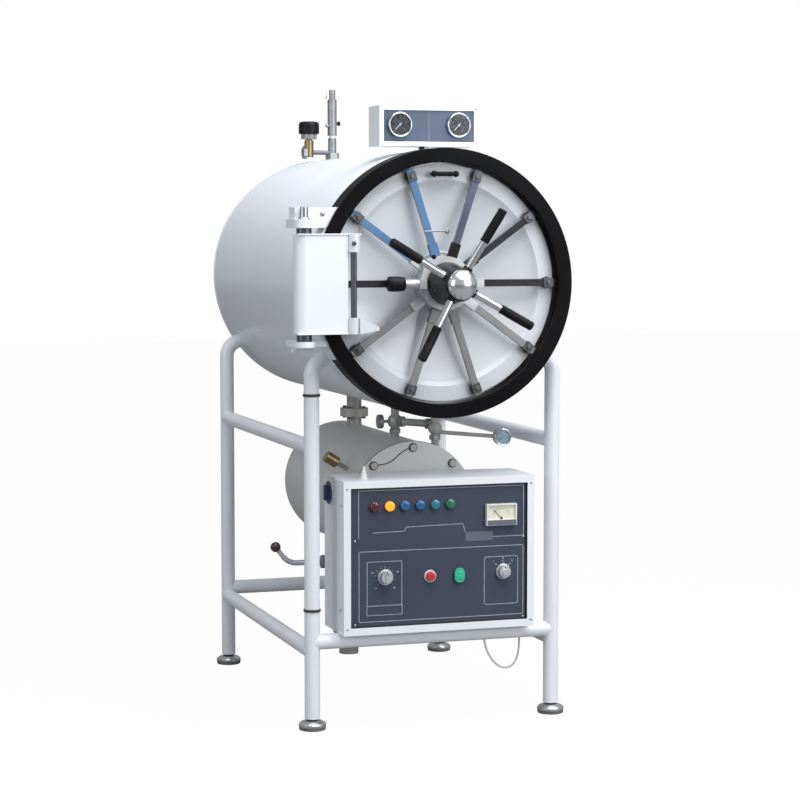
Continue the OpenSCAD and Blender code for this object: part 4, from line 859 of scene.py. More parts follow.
def drawn_line(name: str, points: Outline, width: float, face: float) -> bpy.types.Object:
    """Makes a printed line on a surface that faces the front.

    Args:
        name: the piece's name.
        points: its (x, z) points in millimetres.
        width: its width.
        face: the surface's y.

    Returns:
        The finished piece.
    """
    runs = []
    for (x0, z0), (x1, z1) in zip(points, points[1:]):
        length, angle = math.hypot(x1 - x0, z1 - z0), math.atan2(z1 - z0, x1 - x0)
        seat = Matrix.Translation(at(x0, face, z0)) @ Matrix.Rotation(-angle, 4, "Y")
        runs.append(Bench.block(name, (-width / 2, -PRINT_LIFT, -width / 2), (length + width / 2, 0, width / 2),
                                MARK_EDGE, seat))
    return Bench.joined(name, runs)


def bead(name: str, radius: float, seat: Matrix, size: float) -> bpy.types.Object:
    """Makes a weld bead or a thin band round the seat's Z.

    Args:
        name: the piece's name.
        radius: the radius of what it runs round, in millimetres.
        seat: its place.
        size: how far it stands proud, in millimetres.

    Returns:
        The finished piece.
    """
    return Bench.turned(name, [(radius - size, -size), (radius + size * 0.6, -size * 0.7), (radius + size, 0),
                               (radius + size * 0.6, size * 0.7), (radius - size, size), (radius - size, -size)],
                        seat, 96, soft=0.0, smooth=60)


@dataclass(frozen=True)
class TubeFrame:
    """The bent legs, the rails, their welds, two rubber bands and a tube stub."""

    leg_x: float = 364.0
    leg_back: float = 1012.0
    tube_r: float = 22.0
    rail_heights: Span = (224.0, 807.0)
    end_rail_z: float = 251.0
    band_heights: Span = (955.0, 343.0)
    band: Profile = ((21.5, -4), (24, -4), (24.8, -2.5), (24.8, 2.5), (24, 4), (21.5, 4), (21.5, -4))
    stub_place: Point = (-368.0, 0.0, 1089.0)
    stub: Profile = ((0, -8), (9, -8), (9, 36), (14, 40), (16, 43), (16, 52), (12, 52), (12, 45), (0, 45))
    bead_r: float = 1.5
    bead_points: int = 16

    def build(self) -> None:
        """Makes every piece of the frame."""
        mould("frame_legs", WHITE_COAT, 0.0)
        mould("frame_rails", WHITE_COAT, 0.0)
        beads = []
        for x in (-self.leg_x, self.leg_x):
            for y, way in ((0.0, 1.0), (self.leg_back, -1.0)):
                beads += [self._bead((x, y, z), (0.0, way)) for z in self.rail_heights]
                beads.append(self._bead((x, y, self.end_rail_z), (-math.copysign(1.0, x), 0.0)))
        trim(Bench.joined("rail_welds", beads), WHITE_COAT, "frame_rails")
        bands = [Bench.turned("leg_band", self.band, Facing.UP.seat(-self.leg_x, 0, z), 40) for z in self.band_heights]
        trim(Bench.joined("leg_bands", bands), RUBBER, "frame_legs")
        trim(Bench.turned("leg_stub", self.stub, Facing.LEFT.seat(*self.stub_place), 32), WHITE_COAT, "frame_legs")

    def _bead(self, place: Sequence[float], way: Span) -> bpy.types.Object:
        """Makes the saddle-shaped weld between an upright tube and a level one.

        Args:
            place: where their middle lines meet, in millimetres.
            way: the (x, y) direction that the level tube runs off in.

        Returns:
            The finished piece.
        """
        route = []
        for step in range(self.bead_points + 1):
            turn = FULL_TURN * step / self.bead_points
            side, rise = self.tube_r * math.sin(turn), self.tube_r * math.cos(turn)
            out = abs(rise) + 0.3
            route.append((place[0] + way[0] * out + way[1] * side, place[1] + way[1] * out + way[0] * side,
                          place[2] + rise))
        return Bench.rod("rail_weld", route, self.bead_r)


@dataclass(frozen=True)
class Feet:
    """Four levelling feet: a chromed dome on a ribbed rubber pad."""

    leg_x: float = 364.0
    leg_back: float = 1012.0
    pad_h: float = 14.0
    dome: Profile = (
        (0, -4), (39, -4), (39.2, -2), (38.9, 2.6), (37, 5.4), (33, 8.4), (28, 10.6), (24, 12), (18.5, 13.4),
        (15.4, 15.5), (14, 18), (8, 18), (8, 48), (0, 48))
    pad: Profile = (
        (0, 0), (36, 0), (37.6, 0.8), (38.3, 2.4), (38.3, 5), (37.5, 5.5), (37.5, 6.3), (38.3, 6.8), (38.5, 9),
        (38.5, 14), (0, 14))

    def build(self) -> None:
        """Makes the four domes and pads."""
        spots = [(x, y) for x in (-self.leg_x, self.leg_x) for y in (0.0, self.leg_back)]
        domes = [Bench.turned("dome", self.dome, Facing.UP.seat(x, y, self.pad_h), 56, 0.3) for x, y in spots]
        pads = [Bench.turned("pad", self.pad, Facing.UP.seat(x, y, 0), 56, 0.2) for x, y in spots]
        fit(Bench.joined("feet_domes_turned", domes), FOOT_CHROME, "foot_domes")
        fit(Bench.joined("feet_pads_turned", pads), PAD_RUBBER, "foot_pads")


@dataclass(frozen=True)
class Barrel:
    """The clad barrel with its rear sheet, seam, screws and locking ring."""

    back: float = 1146.0
    sheet_r: float = 375.0
    seam_half: float = 11.0
    seam_span: Span = (-22.0, 1128.0)
    hem_y: float = 1132.0
    screw_r: float = 356.0
    ring: Profile = ((340, 110), (380, 110), (380, 34), (358, 34), (358, 97), (340, 97), (340, 110))

    def build(self) -> None:
        """Makes every piece of the barrel."""
        mould("barrel_skin", BARREL_COAT, 0.0)
        mould("rear_cover", BARREL_COAT, 1.0)
        low, (front, rear) = AXIS - self.sheet_r, self.seam_span
        seam = Bench.block("barrel_seam", (-self.seam_half, front, low - 0.7), (self.seam_half, rear, low + 1), 0.5)
        trim(seam, BARREL_COAT, "barrel_skin")
        trim(bead("barrel_hem", self.sheet_r, Facing.BACK.seat(0, self.hem_y, AXIS), 1.4), BARREL_COAT, "barrel_skin")
        screw = round_screw("rear_screw", Facing.BACK.seat(self.screw_r, self.back, AXIS), 5.5)
        screws = Bench.ringed(screw, at(0, 0, AXIS), [30 * k for k in range(1, 12)])
        trim(Bench.joined("rear_screws", screws), STEEL, "rear_cover")
        ring = Bench.turned("locking_ring_turned", self.ring, Facing.FRONT.seat(0, 0, AXIS), 160, 1.8)
        fit(ring, RING_ENAMEL, "locking_ring")


@dataclass(frozen=True)
class Door:
    """The dished door with its lugs, rod, seal and small pull handle."""

    screw: Point = (-288.0, -166.5, 1383.0)
    press_line: Point = (278.0, -61.5, 1.6)
    pad_weld: Point = (88.0, -51.0, 2.6)

    def build(self) -> None:
        """Makes every piece of the door. The line and the weld are given as radius, y and thickness."""
        mould("door_plate", DOOR_PAINT, 2.0, 3)
        keep("door_gasket", SEAL)
        mould("lug_rod", DARK_STEEL, 1.0)
        mould("pull_handle", BLACK_GRIP, 1.6, 3)
        trim(round_screw("lug_screw", Facing.FRONT.seat(*self.screw), 6.5), DARK_STEEL, "door_plate")
        for name, (radius, y, size) in (("door_press_line", self.press_line), ("hub_pad_weld", self.pad_weld)):
            trim(bead(name, radius, Facing.FRONT.seat(0, y, AXIS), size), DOOR_PAINT, "door_plate")


@dataclass(frozen=True)
class LockingArms:
    """Ten flat arms with their hub sleeves and rim guides. Each arm, and some sleeves, are coloured with a painted
    reflection.
    """

    pitch: float = 36.0
    guide_from: float = 200.0
    sleeve_cone: float = 0.97
    bolt_r: float = 313.5
    face: float = -96.0
    flank_y: float = -80.0
    flank_half: float = 13.0
    # Some sleeves get a painted reflection: a dark, black, blue or bright colour chosen by their arm's angle.
    sleeves: tuple[tuple[int, Finish], ...] = (
        (1, ARM_DARK_REFLECTION), (2, BLACK_GRIP), (3, ARM_SKY_REFLECTION), (7, ARM_BRIGHT_REFLECTION), (8, ARM_BRIGHT_REFLECTION))
    # Each arm's colour is a painted reflection, chosen by the arm's angle.
    finishes: tuple[Finish, ...] = (
        ARM_DARK_REFLECTION, ARM_DARK_REFLECTION, ARM_DIM_SKY_REFLECTION, ARM_SKY_REFLECTION, ARM_SKY_REFLECTION, ARM_DARK_REFLECTION, ARM_BRIGHT_REFLECTION, ARM_BRIGHT_REFLECTION, ARM_BRIGHT_REFLECTION, ARM_BRIGHT_REFLECTION)

    def build(self) -> None:
        """Makes the arms, their guides and the guides' bolts."""
        # The arms get their painted reflection colours, and their side faces get the ground edge.
        for index, finish in enumerate(self.finishes):
            arm = mould(f"locking_arm_{index + 1}", finish, 0.8)
            second_finish(arm, ARM_EDGE, lambda place, normal: abs(normal.y) < 0.5)
        guides = mould("arm_guides", SLEEVE_STEEL, 0.8)
        # Colours the listed sleeves with their painted reflections.
        for index, finish in self.sleeves:
            out = math.radians(index * self.pitch)
            second_finish(guides, finish, lambda place, normal: place.x * math.cos(out) + (place.z - AXIS)
                          * math.sin(out) > self.sleeve_cone * math.hypot(place.x, place.z - AXIS))
        second_finish(guides, GUIDE_DARK, lambda place, normal: math.hypot(place.x, place.z - AXIS) > self.guide_from)
        bolts = []
        for index in range(len(self.finishes)):
            outward = spoke(index * self.pitch)
            front = outward @ shift(self.bolt_r, self.face, 0) @ Matrix.Rotation(QUARTER_TURN, 4, "X")
            bolts.append(hex_bolt("guide_bolt", front, 13, 4.5, 15))
            for side, turn in ((-1, math.pi), (1, 0.0)):
                place = outward @ shift(self.bolt_r, self.flank_y, self.flank_half * side)
                bolts.append(hex_bolt("guide_bolt", place @ Matrix.Rotation(turn, 4, "X"), 10, 4.0, 12))
        trim(Bench.joined("guide_bolts", bolts), DARK_STEEL, "arm_guides")


@dataclass(frozen=True)
class Hub:
    """The boss with its tilted ear and interlock block, and the sprung interlock knob."""

    lock: Point = (-64.0, -116.0, AXIS)
    screw: Point = (-38.0, -112.0, 1344.0)
    ear_from: Point = (12.0, -92.0, 30.0)
    rod: Profile = ((0, 0), (11, 0), (11, 24), (12.6, 25), (12.6, 30), (11, 31), (11, 64), (0, 64))
    grip: Profile = (
        (0, 62), (16, 62), (18.6, 63), (19.2, 65.5), (18.6, 67), (19.6, 68.5), (21, 78), (21.5, 92), (21.3, 103),
        (20.4, 104), (20.4, 105.2), (21, 106.2), (19.6, 109.8), (16, 111), (0, 111))
    eyelet_route: tuple[Point, ...] = ((-62, -104, 1415), (-30, -105, 1417), (-4, -104, 1416))
    eyelet: Point = (3.0, -104.0, 1416.0)

    def build(self) -> None:
        """Makes the boss, its screws, the knob and a small eyelet rod."""
        # The boss is coloured grey as painted shade, and its ear gets the white coat.
        boss = mould("hub_boss", BOSS_PAINTED_SHADE, 1.4, 3)
        right, front, rise = self.ear_from
        second_finish(boss, WHITE_COAT,
                      lambda place, normal: place.z > AXIS + rise and place.y < front and place.x < right)
        trim(round_screw("ear_screw", Facing.FRONT.seat(*self.screw), 6.5), BLACK_GRIP, "hub_boss")
        seat = Facing.LEFT.seat(*self.lock)
        rod = Bench.turned("lock_rod", self.rod, seat, 40)
        grip = Bench.turned("lock_grip", self.grip, seat, 56)
        dressed("interlock_turned", [(rod, KNOB_SILVER), (grip, BLACK_GRIP)], "interlock_knob")
        bar = Bench.rod("eyelet_rod", self.eyelet_route, 2.4)
        eye = bead("eyelet", 5.6, Facing.FRONT.seat(*self.eyelet), 2.2)
        trim(Bench.joined("eyelet_rod", [bar, eye]), VALVE_STEEL, "hub_boss")


@dataclass(frozen=True)
class Handwheel:
    """The black drum with its chromed cap, four bright rods and black grips."""

    drum_y: float = -115.0
    cap_y: float = -236.0
    root_y: float = -212.0
    lean: float = 8.0
    angles: tuple[float, ...] = (60.0, 150.0, 240.0, 330.0)
    cap_r: float = 41.0
    dome_h: float = 28.0
    dome_steps: int = 14
    drum: Profile = (
        (0, 0), (58.5, 0), (60, 1.5), (60, 13), (59, 14.4), (58.4, 17), (46.8, 114), (46, 119), (44.5, 121), (0, 121))
    belt: Profile = ((0, 0), (39, 0), (41, 1.4), (41, 3), (39.8, 3.6), (39.8, 4.4), (41, 5), (41, 8))
    rod: Profile = ((0, 30), (10.5, 30), (10.5, 132), (9.6, 134), (9.6, 229), (0, 229))
    collar: Profile = ((0, 40), (13.6, 40), (13.6, 53.5), (12, 55), (0, 55))
    grip_root: Profile = ((0, 136), (11.4, 136), (12.6, 137), (13, 139.5))
    grip_end: Profile = ((13, 235), (12.2, 238.4), (9.6, 240.5), (5, 241), (0, 241))
    grooves: tuple[float, ...] = (143.0, 148.0, 153.0, 222.0, 227.0)
    groove: Profile = ((13, 0), (12.1, 0.7), (12.1, 2.2), (13, 2.9))

    def build(self) -> None:
        """Makes every piece of the handwheel."""
        drum = Bench.turned("drum_turned", self.drum, Facing.FRONT.seat(0, self.drum_y, AXIS), 112, 0.5)
        fit(drum, BLACK_ENAMEL, "wheel_drum")
        fit(self._cap(), CAP_CHROME, "wheel_cap")
        rods, grips, collars = [], [], []
        for angle in self.angles:
            lean = Matrix.Rotation(-math.radians(self.lean), 4, "Z")
            line = spoke(angle) @ shift(0, self.root_y, 0) @ lean @ OUTWARD
            rods.append(Bench.turned("rod", self.rod, line, 40, 0.3))
            collars.append(Bench.turned("collar", self.collar, line, 40))
            grips.append(self._grip(line))
        fit(Bench.joined("wheel_rods_turned", rods), CHROME, "wheel_rods")
        trim(Bench.joined("rod_collars", collars), BLACK_ENAMEL, "wheel_drum")
        fit(Bench.joined("wheel_grips_turned", grips), BLACK_GRIP, "wheel_grips")

    def _cap(self) -> bpy.types.Object:
        """Makes the mushroom cap with a belt and a groove.

        Returns:
            The finished piece.
        """
        outline = list(self.belt)
        for step in range(1, self.dome_steps):
            turn = QUARTER_TURN * step / self.dome_steps
            outline.append((self.cap_r * math.cos(turn), self.belt[-1][1] + self.dome_h * math.sin(turn)))
        outline.append((0.0, self.belt[-1][1] + self.dome_h))
        return Bench.turned("cap_turned", outline, Facing.FRONT.seat(0, self.cap_y, AXIS), 112, 0.0, smooth=35)

    def _grip(self, line: Matrix) -> bpy.types.Object:
        """Makes one ribbed grip.

        Args:
            line: the place of its rod, with Z along it.

        Returns:
            The finished piece.
        """
        outline = list(self.grip_root)
        for start in self.grooves:
            outline += [(radius, start + along) for radius, along in self.groove]
        outline += self.grip_end
        return Bench.turned("grip", outline, line, 36, 0.2)


@dataclass(frozen=True)
class Hinge:
    """The bracket on the ring's side, its pin and the cover-shaped arm."""

    bracket_screws: tuple[Point, ...] = ((-426, -102, 1437), (-359, -100, 1464))
    dark_span: Span = (1112.0, 1426.0)
    strips: tuple[tuple[Point, Point], ...] = (
        ((-444, -155, 1406), (-262, -137, 1409.5)), ((-444, -155, 1132.5), (-272, -137, 1136)))
    cap_place: Point = (-418.0, -122.0, 1449.0)
    cap: Profile = ((0, 0), (17, 0), (17, 3), (15, 5), (0, 5))

    def build(self) -> None:
        """Makes every piece of the hinge."""
        mould("hinge_bracket", WHITE_COAT, 2.0, 3)
        pin = mould("hinge_pin", DARK_STEEL, 0.8)
        second_finish(pin, STEEL, lambda place, normal: not self.dark_span[0] <= place.z <= self.dark_span[1])
        mould("hinge_arm", WHITE_COAT, 1.8, 3)
        strips = [Bench.block("cover_strip", low, high, 0.8) for low, high in self.strips]
        trim(Bench.joined("cover_strips", strips), WHITE_COAT, "hinge_arm")
        heads = [round_screw("bracket_screw", Facing.FRONT.seat(x, y, z), 7) for x, y, z in self.bracket_screws]
        trim(Bench.joined("bracket_screws", heads), STEEL, "hinge_bracket")
        trim(Bench.turned("pin_cap", self.cap, Facing.UP.seat(*self.cap_place), 36), STEEL, "hinge_pin")


@dataclass(frozen=True)
class GaugeBox:
    """The white box on a post with two round gauges."""

    gauge_xs: tuple[float, ...] = (-88.5, 88.5)
    gauge_z: float = 1718.0
    panel_y: float = 46.0
    dial_y: float = 39.0
    scale: Span = (225.0, -45.0)
    major: int = 9
    minor: int = 5
    figure_r: float = 17.5
    sheet_half: float = 137.0
    sheet_span: Span = (45.0, 60.0)
    panel_line: Profile = ((0, 1672), (0, 1757))
    front_screw: Point = (141.0, 43.0, 1765.0)
    rear_screws: tuple[Point, ...] = ((-139, 147, 1667), (-139, 147, 1762), (139, 147, 1667), (139, 147, 1762))
    gland_place: Point = (-16.0, 62.0, 1657.5)
    gland: Profile = ((0, 0), (8, 0), (8, 5), (6.5, 6), (6.5, 13), (0, 13))
    bezel: Profile = (
        (30.5, 0), (35.5, 0), (35.5, 9), (34.8, 11), (33.4, 12), (31.8, 12), (30.8, 11), (30.5, 9), (30.5, 0))
    dial: Profile = ((0, 0), (31, 0), (31, 7), (0, 7))
    body: Profile = ((0, -48), (27, -48), (29, -46), (29, 0), (0, 0))
    glass: Profile = ((0, 9.2), (30.6, 9.2), (30.6, 10.2), (0, 10.2))

    def build(self) -> None:
        """Makes the box, its panel and both gauges."""
        box = mould("gauge_box", WHITE_COAT, 1.4, 3)
        near, far = self.sheet_span
        second_finish(box, GAUGE_SHEET, lambda place, normal: normal.y < -0.9 and near < place.y < far
                      and abs(place.x) < self.sheet_half)
        parts: list[tuple[bpy.types.Object, Finish]] = []
        for x in self.gauge_xs:
            parts += self._gauge(x)
        dressed("gauges_turned", parts, "gauge_bodies")
        for side in ("left", "right"):
            mould(f"gauge_needle_{side}", MARK_WHITE, 0.0)
        trim(drawn_line("gauge_panel_line", self.panel_line, 0.8, self.panel_y), MARK_GREY, "gauge_box")
        trim(round_screw("gauge_box_screw", Facing.FRONT.seat(*self.front_screw), 3.4), STEEL, "gauge_box")
        rear = [round_screw("gauge_rear_screw", Facing.BACK.seat(*place), 3.4) for place in self.rear_screws]
        trim(Bench.joined("gauge_rear_screws", rear), STEEL, "gauge_box")
        gland = Bench.turned("gauge_gland", self.gland, Facing.DOWN.seat(*self.gland_place), 28)
        trim(gland, BLACK_GRIP, "gauge_box")

    def _gauge(self, x: float) -> list[tuple[bpy.types.Object, Finish]]:
        """Makes one gauge.

        Args:
            x: its place across the box, in millimetres.

        Returns:
            Its bezel, dial, body, scale, figures and glass, each with its finish.
        """
        seat = Facing.FRONT.seat(x, self.panel_y, self.gauge_z)
        bezel = Bench.turned("bezel", self.bezel, seat, 72, 0.0, smooth=50)
        dial = Bench.turned("dial", self.dial, seat, 56, 0.0)
        body = Bench.turned("body", self.body, seat)
        first, last = self.scale
        gap = (last - first) / (self.major - 1)
        long_marks = [first + gap * k for k in range(self.major)]
        short_marks = [first + gap * k / self.minor for k in range((self.major - 1) * self.minor)]
        centre = (x, self.gauge_z)
        scale = Bench.joined("scale", [
            strokes("long", centre, (24.0, 27.5), long_marks, 0.7, self.dial_y),
            strokes("short", centre, (26.2, 27.5), short_marks, 0.3, self.dial_y),
        ])
        figures = []
        for count, angle in enumerate(long_marks[::2]):
            across, up = math.cos(math.radians(angle)), math.sin(math.radians(angle))
            spot = Facing.FRONT.seat(x + self.figure_r * across, self.dial_y, self.gauge_z + self.figure_r * up)
            figures.append(Bench.words("figure", str(count), 3.8, spot))
        glass = Bench.turned("glass", self.glass, seat, 48, 0.0)
        return [(bezel, CHROME), (dial, DIAL_BLACK), (body, DARK_STEEL), (scale, MARK_GREY),
                (Bench.joined("figures", figures), MARK_GREY), (glass, GLASS)]


@dataclass(frozen=True)
class Cabinet:
    """The control cabinet with its recessed panel, lamps, meter, knobs, buttons and side switch."""

    face: float = -51.0
    case_face: float = -60.0
    line_w: float = 1.7
    upper_frame: Profile = ((-241, 549), (-241, 684), (257, 684), (257, 538), (163, 538))
    left_foot: Profile = ((-217, 353), (-217, 327), (-112, 327), (-112, 353))
    step_line: Profile = ((-199, 563), (-105, 565), (-99, 576), (71, 579), (79, 554))
    cards: tuple[tuple[str, Span, Span, float], ...] = (
        ("lower_frame", (-241, 308), (257, 511), 5), ("left_box", (-217, 353), (-112, 481), 3),
        ("right_box", (136, 340), (241, 480), 9))
    band: tuple[Span, Span] = ((80, 528), (163, 554))
    edge: tuple[Span, Span] = ((-266.4, 294.1), (266.4, 691.9))
    edge_w: float = 4.2
    timer: Span = (-163.0, 436.0)
    timer_figures: tuple[tuple[str, float, float], ...] = (
        ("0", -190, 404), ("30", -201, 449), ("60", -125, 449), ("90", -136, 404))
    selector: Span = (194.0, 436.0)
    selector_figures: tuple[tuple[str, float, float], ...] = (("1", 166, 466), ("0", 194, 474), ("2", 222, 466))
    panel_screws: Profile = ((257, 535), (257, 301), (-252, 541), (-252, 301))
    case_screws: Profile = ((277, 691), (277, 292), (-277, 691), (-277, 292))
    side_x: float = 287.5
    side_screws: Profile = ((-36, 643), (-30, 343))
    slot: tuple[Point, Point] = ((287, 20, 330), (289.2, 100, 335))
    slot_pitch: float = 13.0
    slots: int = 7
    cone_place: Point = (-213.0, -10.0, 713.0)
    cone: Profile = ((0, 0), (12, 0), (12, 3), (9, 5), (3.4, 36), (0, 37))
    lamp_z: float = 638.0
    lamp_first: float = -195.5
    lamp_gap: float = 45.5
    lamp_collar: Profile = ((0, 0), (15.5, 0), (15.5, 2), (14.6, 3), (0, 3))
    lamp_lens: Profile = ((0, 2.5), (14.2, 2.5), (14.2, 8), (13.5, 10.4), (11.4, 12.2), (7.2, 12.9), (0, 13))
    lamps: tuple[Finish, ...] = (LAMP_DARK_RED, LAMP_ORANGE, LAMP_BLUE, LAMP_BLUE, LAMP_TEAL, LAMP_GREEN)
    meter_middle: Span = (186.0, 591.8)
    meter_face: float = -59.0
    meter_bar: tuple[Span, Span] = ((142, 572), (230, 586.5))
    meter_front: float = -65.0
    knob_skirt_y: float = -56.0
    stop_x: float = -28.2
    start_x: float = 58.9
    button_z: float = 432.0
    button: Profile = (
        (0, -9.7), (5.6, -9.7), (6, -9.3), (6, 4.3), (12.7, 4.3), (13, 4.6), (13, 11), (12.7, 11.8), (11.9, 12.3),
        (9, 12.2), (0, 11.6))
    oval: tuple[Span, Span] = ((43.9, 411), (73.9, 453))
    oval_back: float = 4.4
    stop_ring: Profile = ((13.6, 0), (18, 0), (18, 2.4), (16.6, 5), (14.2, 5), (13.6, 4.4), (13.6, 0))
    switch_plate: tuple[Point, Point] = ((-289.6, 30, 634), (-287, 122, 717))
    switch_place: Point = (-289.5, 84.0, 667.0)
    switch_ring: Profile = ((30.5, 0), (33, 0), (33, 2.4), (31, 3), (30.5, 3), (30.5, 0))

    def build(self) -> None:
        """Makes every piece of the cabinet."""
        mould("cabinet_case", WHITE_COAT, 1.8, 3)
        mould("cabinet_panel", PANEL_SHEET, 0.0)
        keep("switchgear", GEAR_PLASTIC)
        self._printing()
        self._screws()
        self._lamps()
        self._meter()
        self._controls()
        self._switch()

    def _printing(self) -> None:
        """Makes the panel's line art, without any words."""
        lines = [drawn_line("upper_frame", self.upper_frame, self.line_w, self.face)]
        lines += [Bench.card(name, low, high, self.face, PRINT_LIFT, corner, self.line_w)
                  for name, low, high, corner in self.cards]
        lines += [drawn_line("left_foot", self.left_foot, 1.5, self.face),
                  drawn_line("step_line", self.step_line, self.line_w, self.face)]
        trim(Bench.joined("panel_lines", lines), MARK_GREY, "cabinet_panel")
        trim(Bench.card("panel_band", *self.band, self.face, 0.2, 2), PANEL_BAND, "cabinet_panel")
        trim(Bench.card("panel_edge", *self.edge, self.face, 0.4, 0, self.edge_w), MARK_BLACK, "cabinet_panel")
        dials = [
            strokes("timer_marks", self.timer, (26.5, 30.5), [225 - 27 * k for k in range(11)], 0.9, self.face),
            strokes("selector_marks", self.selector, (26.5, 32.5), [135, 90, 45], 1.5, self.face),
        ]
        for name, figures, height in (("timer_figure", self.timer_figures, 5),
                                      ("selector_figure", self.selector_figures, 6)):
            dials += [Bench.words(name, figure, height, Facing.FRONT.seat(x, self.face, z), 0.15)
                      for figure, x, z in figures]
        trim(Bench.joined("panel_scales", dials), MARK_WHITE, "cabinet_panel")

    def _screws(self) -> None:
        """Makes the screws of the panel and the case, the louvres and the cone."""
        heads = []
        for spots, y in ((self.panel_screws, self.face), (self.case_screws, self.case_face)):
            heads += [round_screw("cabinet_screw", Facing.FRONT.seat(x, y, z), 3.4) for x, z in spots]
        for side, facing in ((-1, Facing.LEFT), (1, Facing.RIGHT)):
            heads += [round_screw("side_screw", facing.seat(side * self.side_x, y, z), 4.6)
                      for y, z in self.side_screws]
        trim(Bench.joined("cabinet_screws", heads), STEEL, "cabinet_case")
        rises = [Vector((0, 0, self.slot_pitch * k)) for k in range(self.slots)]
        slots = [Bench.block("vent_slot", *(Vector(corner) + rise for corner in self.slot), 0.9) for rise in rises]
        trim(Bench.joined("cabinet_louvres", slots), WHITE_COAT, "cabinet_case")
        trim(Bench.turned("cable_cone", self.cone, Facing.UP.seat(*self.cone_place), 32), TUBE_WHITE, "cabinet_case")

    def _lamps(self) -> None:
        """Makes the six lamps."""
        parts: list[tuple[bpy.types.Object, Finish]] = []
        for index, finish in enumerate(self.lamps):
            seat = Facing.FRONT.seat(self.lamp_first + self.lamp_gap * index, self.face, self.lamp_z)
            collar = Bench.turned("collar", self.lamp_collar, seat, 48, 0.0, smooth=20)
            lens = Bench.turned("lens", self.lamp_lens, seat, 48, 0.3)
            parts += [(collar, DARK_STEEL), (lens, finish)]
        dressed("lamps_turned", parts, "indicator_lamps")

    def _meter(self) -> None:
        """Makes the panel meter's face, scale and glass."""
        meter = mould("panel_meter", DIAL_WHITE, 0.9)
        second_finish(meter, DIAL_IVORY, lambda place, normal: normal.y < -0.9 and place.y > self.meter_face - 1.5)
        scale = Bench.joined("meter_scale", [
            strokes("meter_long", self.meter_middle, (25, 30), [160 - 28 * k for k in range(6)], 0.9, self.meter_face),
            strokes("meter_short", self.meter_middle, (27, 30), [160 - 7 * k for k in range(21)], 0.4, self.meter_face),
        ])
        trim(scale, MARK_BLACK, "panel_meter")
        trim(Bench.card("meter_bar", *self.meter_bar, self.meter_front, 0.5, 1.5), PANEL_BAND, "panel_meter")
        mould("meter_needle", MARK_BLACK, 0.0)

    def _controls(self) -> None:
        """Makes the two knobs and the two push buttons."""
        for node, x, front in (("timer_knob", self.timer[0], -78.6), ("selector_knob", self.selector[0], -74.4)):
            knob = mould(node, KNOB_SILVER, 0.7, 3)
            second_finish(knob, CHROME, lambda place, normal: place.y > self.knob_skirt_y)
            mark = Bench.block("knob_mark", (x - 1.4, front, 444), (x + 1.4, -73, 452.5), 0.2)
            trim(mark, MARK_BLACK, node)
        fit(self._round("stop_button_shell", self.button, self.stop_x), STOP_RED, "stop_button")
        oval = Bench.card("start_oval", *self.oval, self.face - self.oval_back, 7, 13.5, soft=0.6)
        cap = self._round("start_cap", self.button, self.start_x)
        dressed("start_button_shell", [(cap, START_GREEN), (oval, START_GREEN)], "start_button")
        trim(self._round("stop_ring", self.stop_ring, self.stop_x), PALE_PLASTIC, "cabinet_panel")

    def _round(self, name: str, outline: Outline, x: float) -> bpy.types.Object:
        """Makes a round piece at the push buttons' height. The outline's corners stay as they are given."""
        return Bench.turned(name, outline, Facing.FRONT.seat(x, self.face, self.button_z), 56, 0.0, smooth=40)

    def _switch(self) -> None:
        """Makes the main switch on the left side with its plate."""
        trim(Bench.block("switch_plate", *self.switch_plate), PALE_PLASTIC, "cabinet_case")
        mould("main_switch", SWITCH_BLUE, 1.0, 3)
        ring = Bench.turned("switch_ring", self.switch_ring, Facing.LEFT.seat(*self.switch_place), 56, 0.0, smooth=40)
        trim(ring, DARK_STEEL, "cabinet_case")


@dataclass(frozen=True)
class Boiler:
    """The boiler with its weld beads and its bolted cover."""

    axis_x: float = -14.0
    axis_z: float = 610.0
    bolt_r: float = 172.0
    cover_y: float = 148.0
    weld_r: float = 186.0
    weld_ys: Span = (176.0, 897.0)
    seal_r: float = 189.4
    seal_y: float = 160.0
    line: tuple[Point, ...] = (
        (-122, 147, 733), (-96, 146.5, 736), (-72, 146.5, 748), (-50, 146.5, 770), (-28, 147, 780))
    washer: Profile = ((0, 0), (13.6, 0), (13.6, 1.2), (12.8, 1.8), (0, 1.8))

    def build(self) -> None:
        """Makes every piece of the boiler."""
        mould("boiler_shell", BOILER_PAINT, 1.4)
        cover = mould("boiler_cover", BOILER_PAINT, 1.0)
        second_finish(cover, PIPE_PAINT, lambda place, normal: place.y < self.cover_y - 0.4)
        keep("heater_elements", DARK_STEEL)
        beads = [bead("boiler_weld", self.weld_r, Facing.FRONT.seat(self.axis_x, y, self.axis_z), 2.2)
                 for y in self.weld_ys]
        trim(Bench.joined("boiler_welds", beads), BOILER_PAINT, "boiler_shell")
        seal = bead("cover_seal", self.seal_r, Facing.FRONT.seat(self.axis_x, self.seal_y, self.axis_z), 1.4)
        trim(seal, RUBBER, "boiler_cover")
        trim(Bench.rod("cover_line", self.line, 1.4), MARK_BLACK, "boiler_cover")
        seat = Facing.FRONT.seat(self.axis_x, self.cover_y, self.axis_z + self.bolt_r)
        washer = Bench.turned("cover_washer", self.washer, seat, 32, 0.0)
        washers = Bench.ringed(washer, at(self.axis_x, 0, self.axis_z), [45 * k for k in range(1, 8)])
        trim(Bench.joined("cover_washers", washers), DARK_STEEL, "boiler_cover")


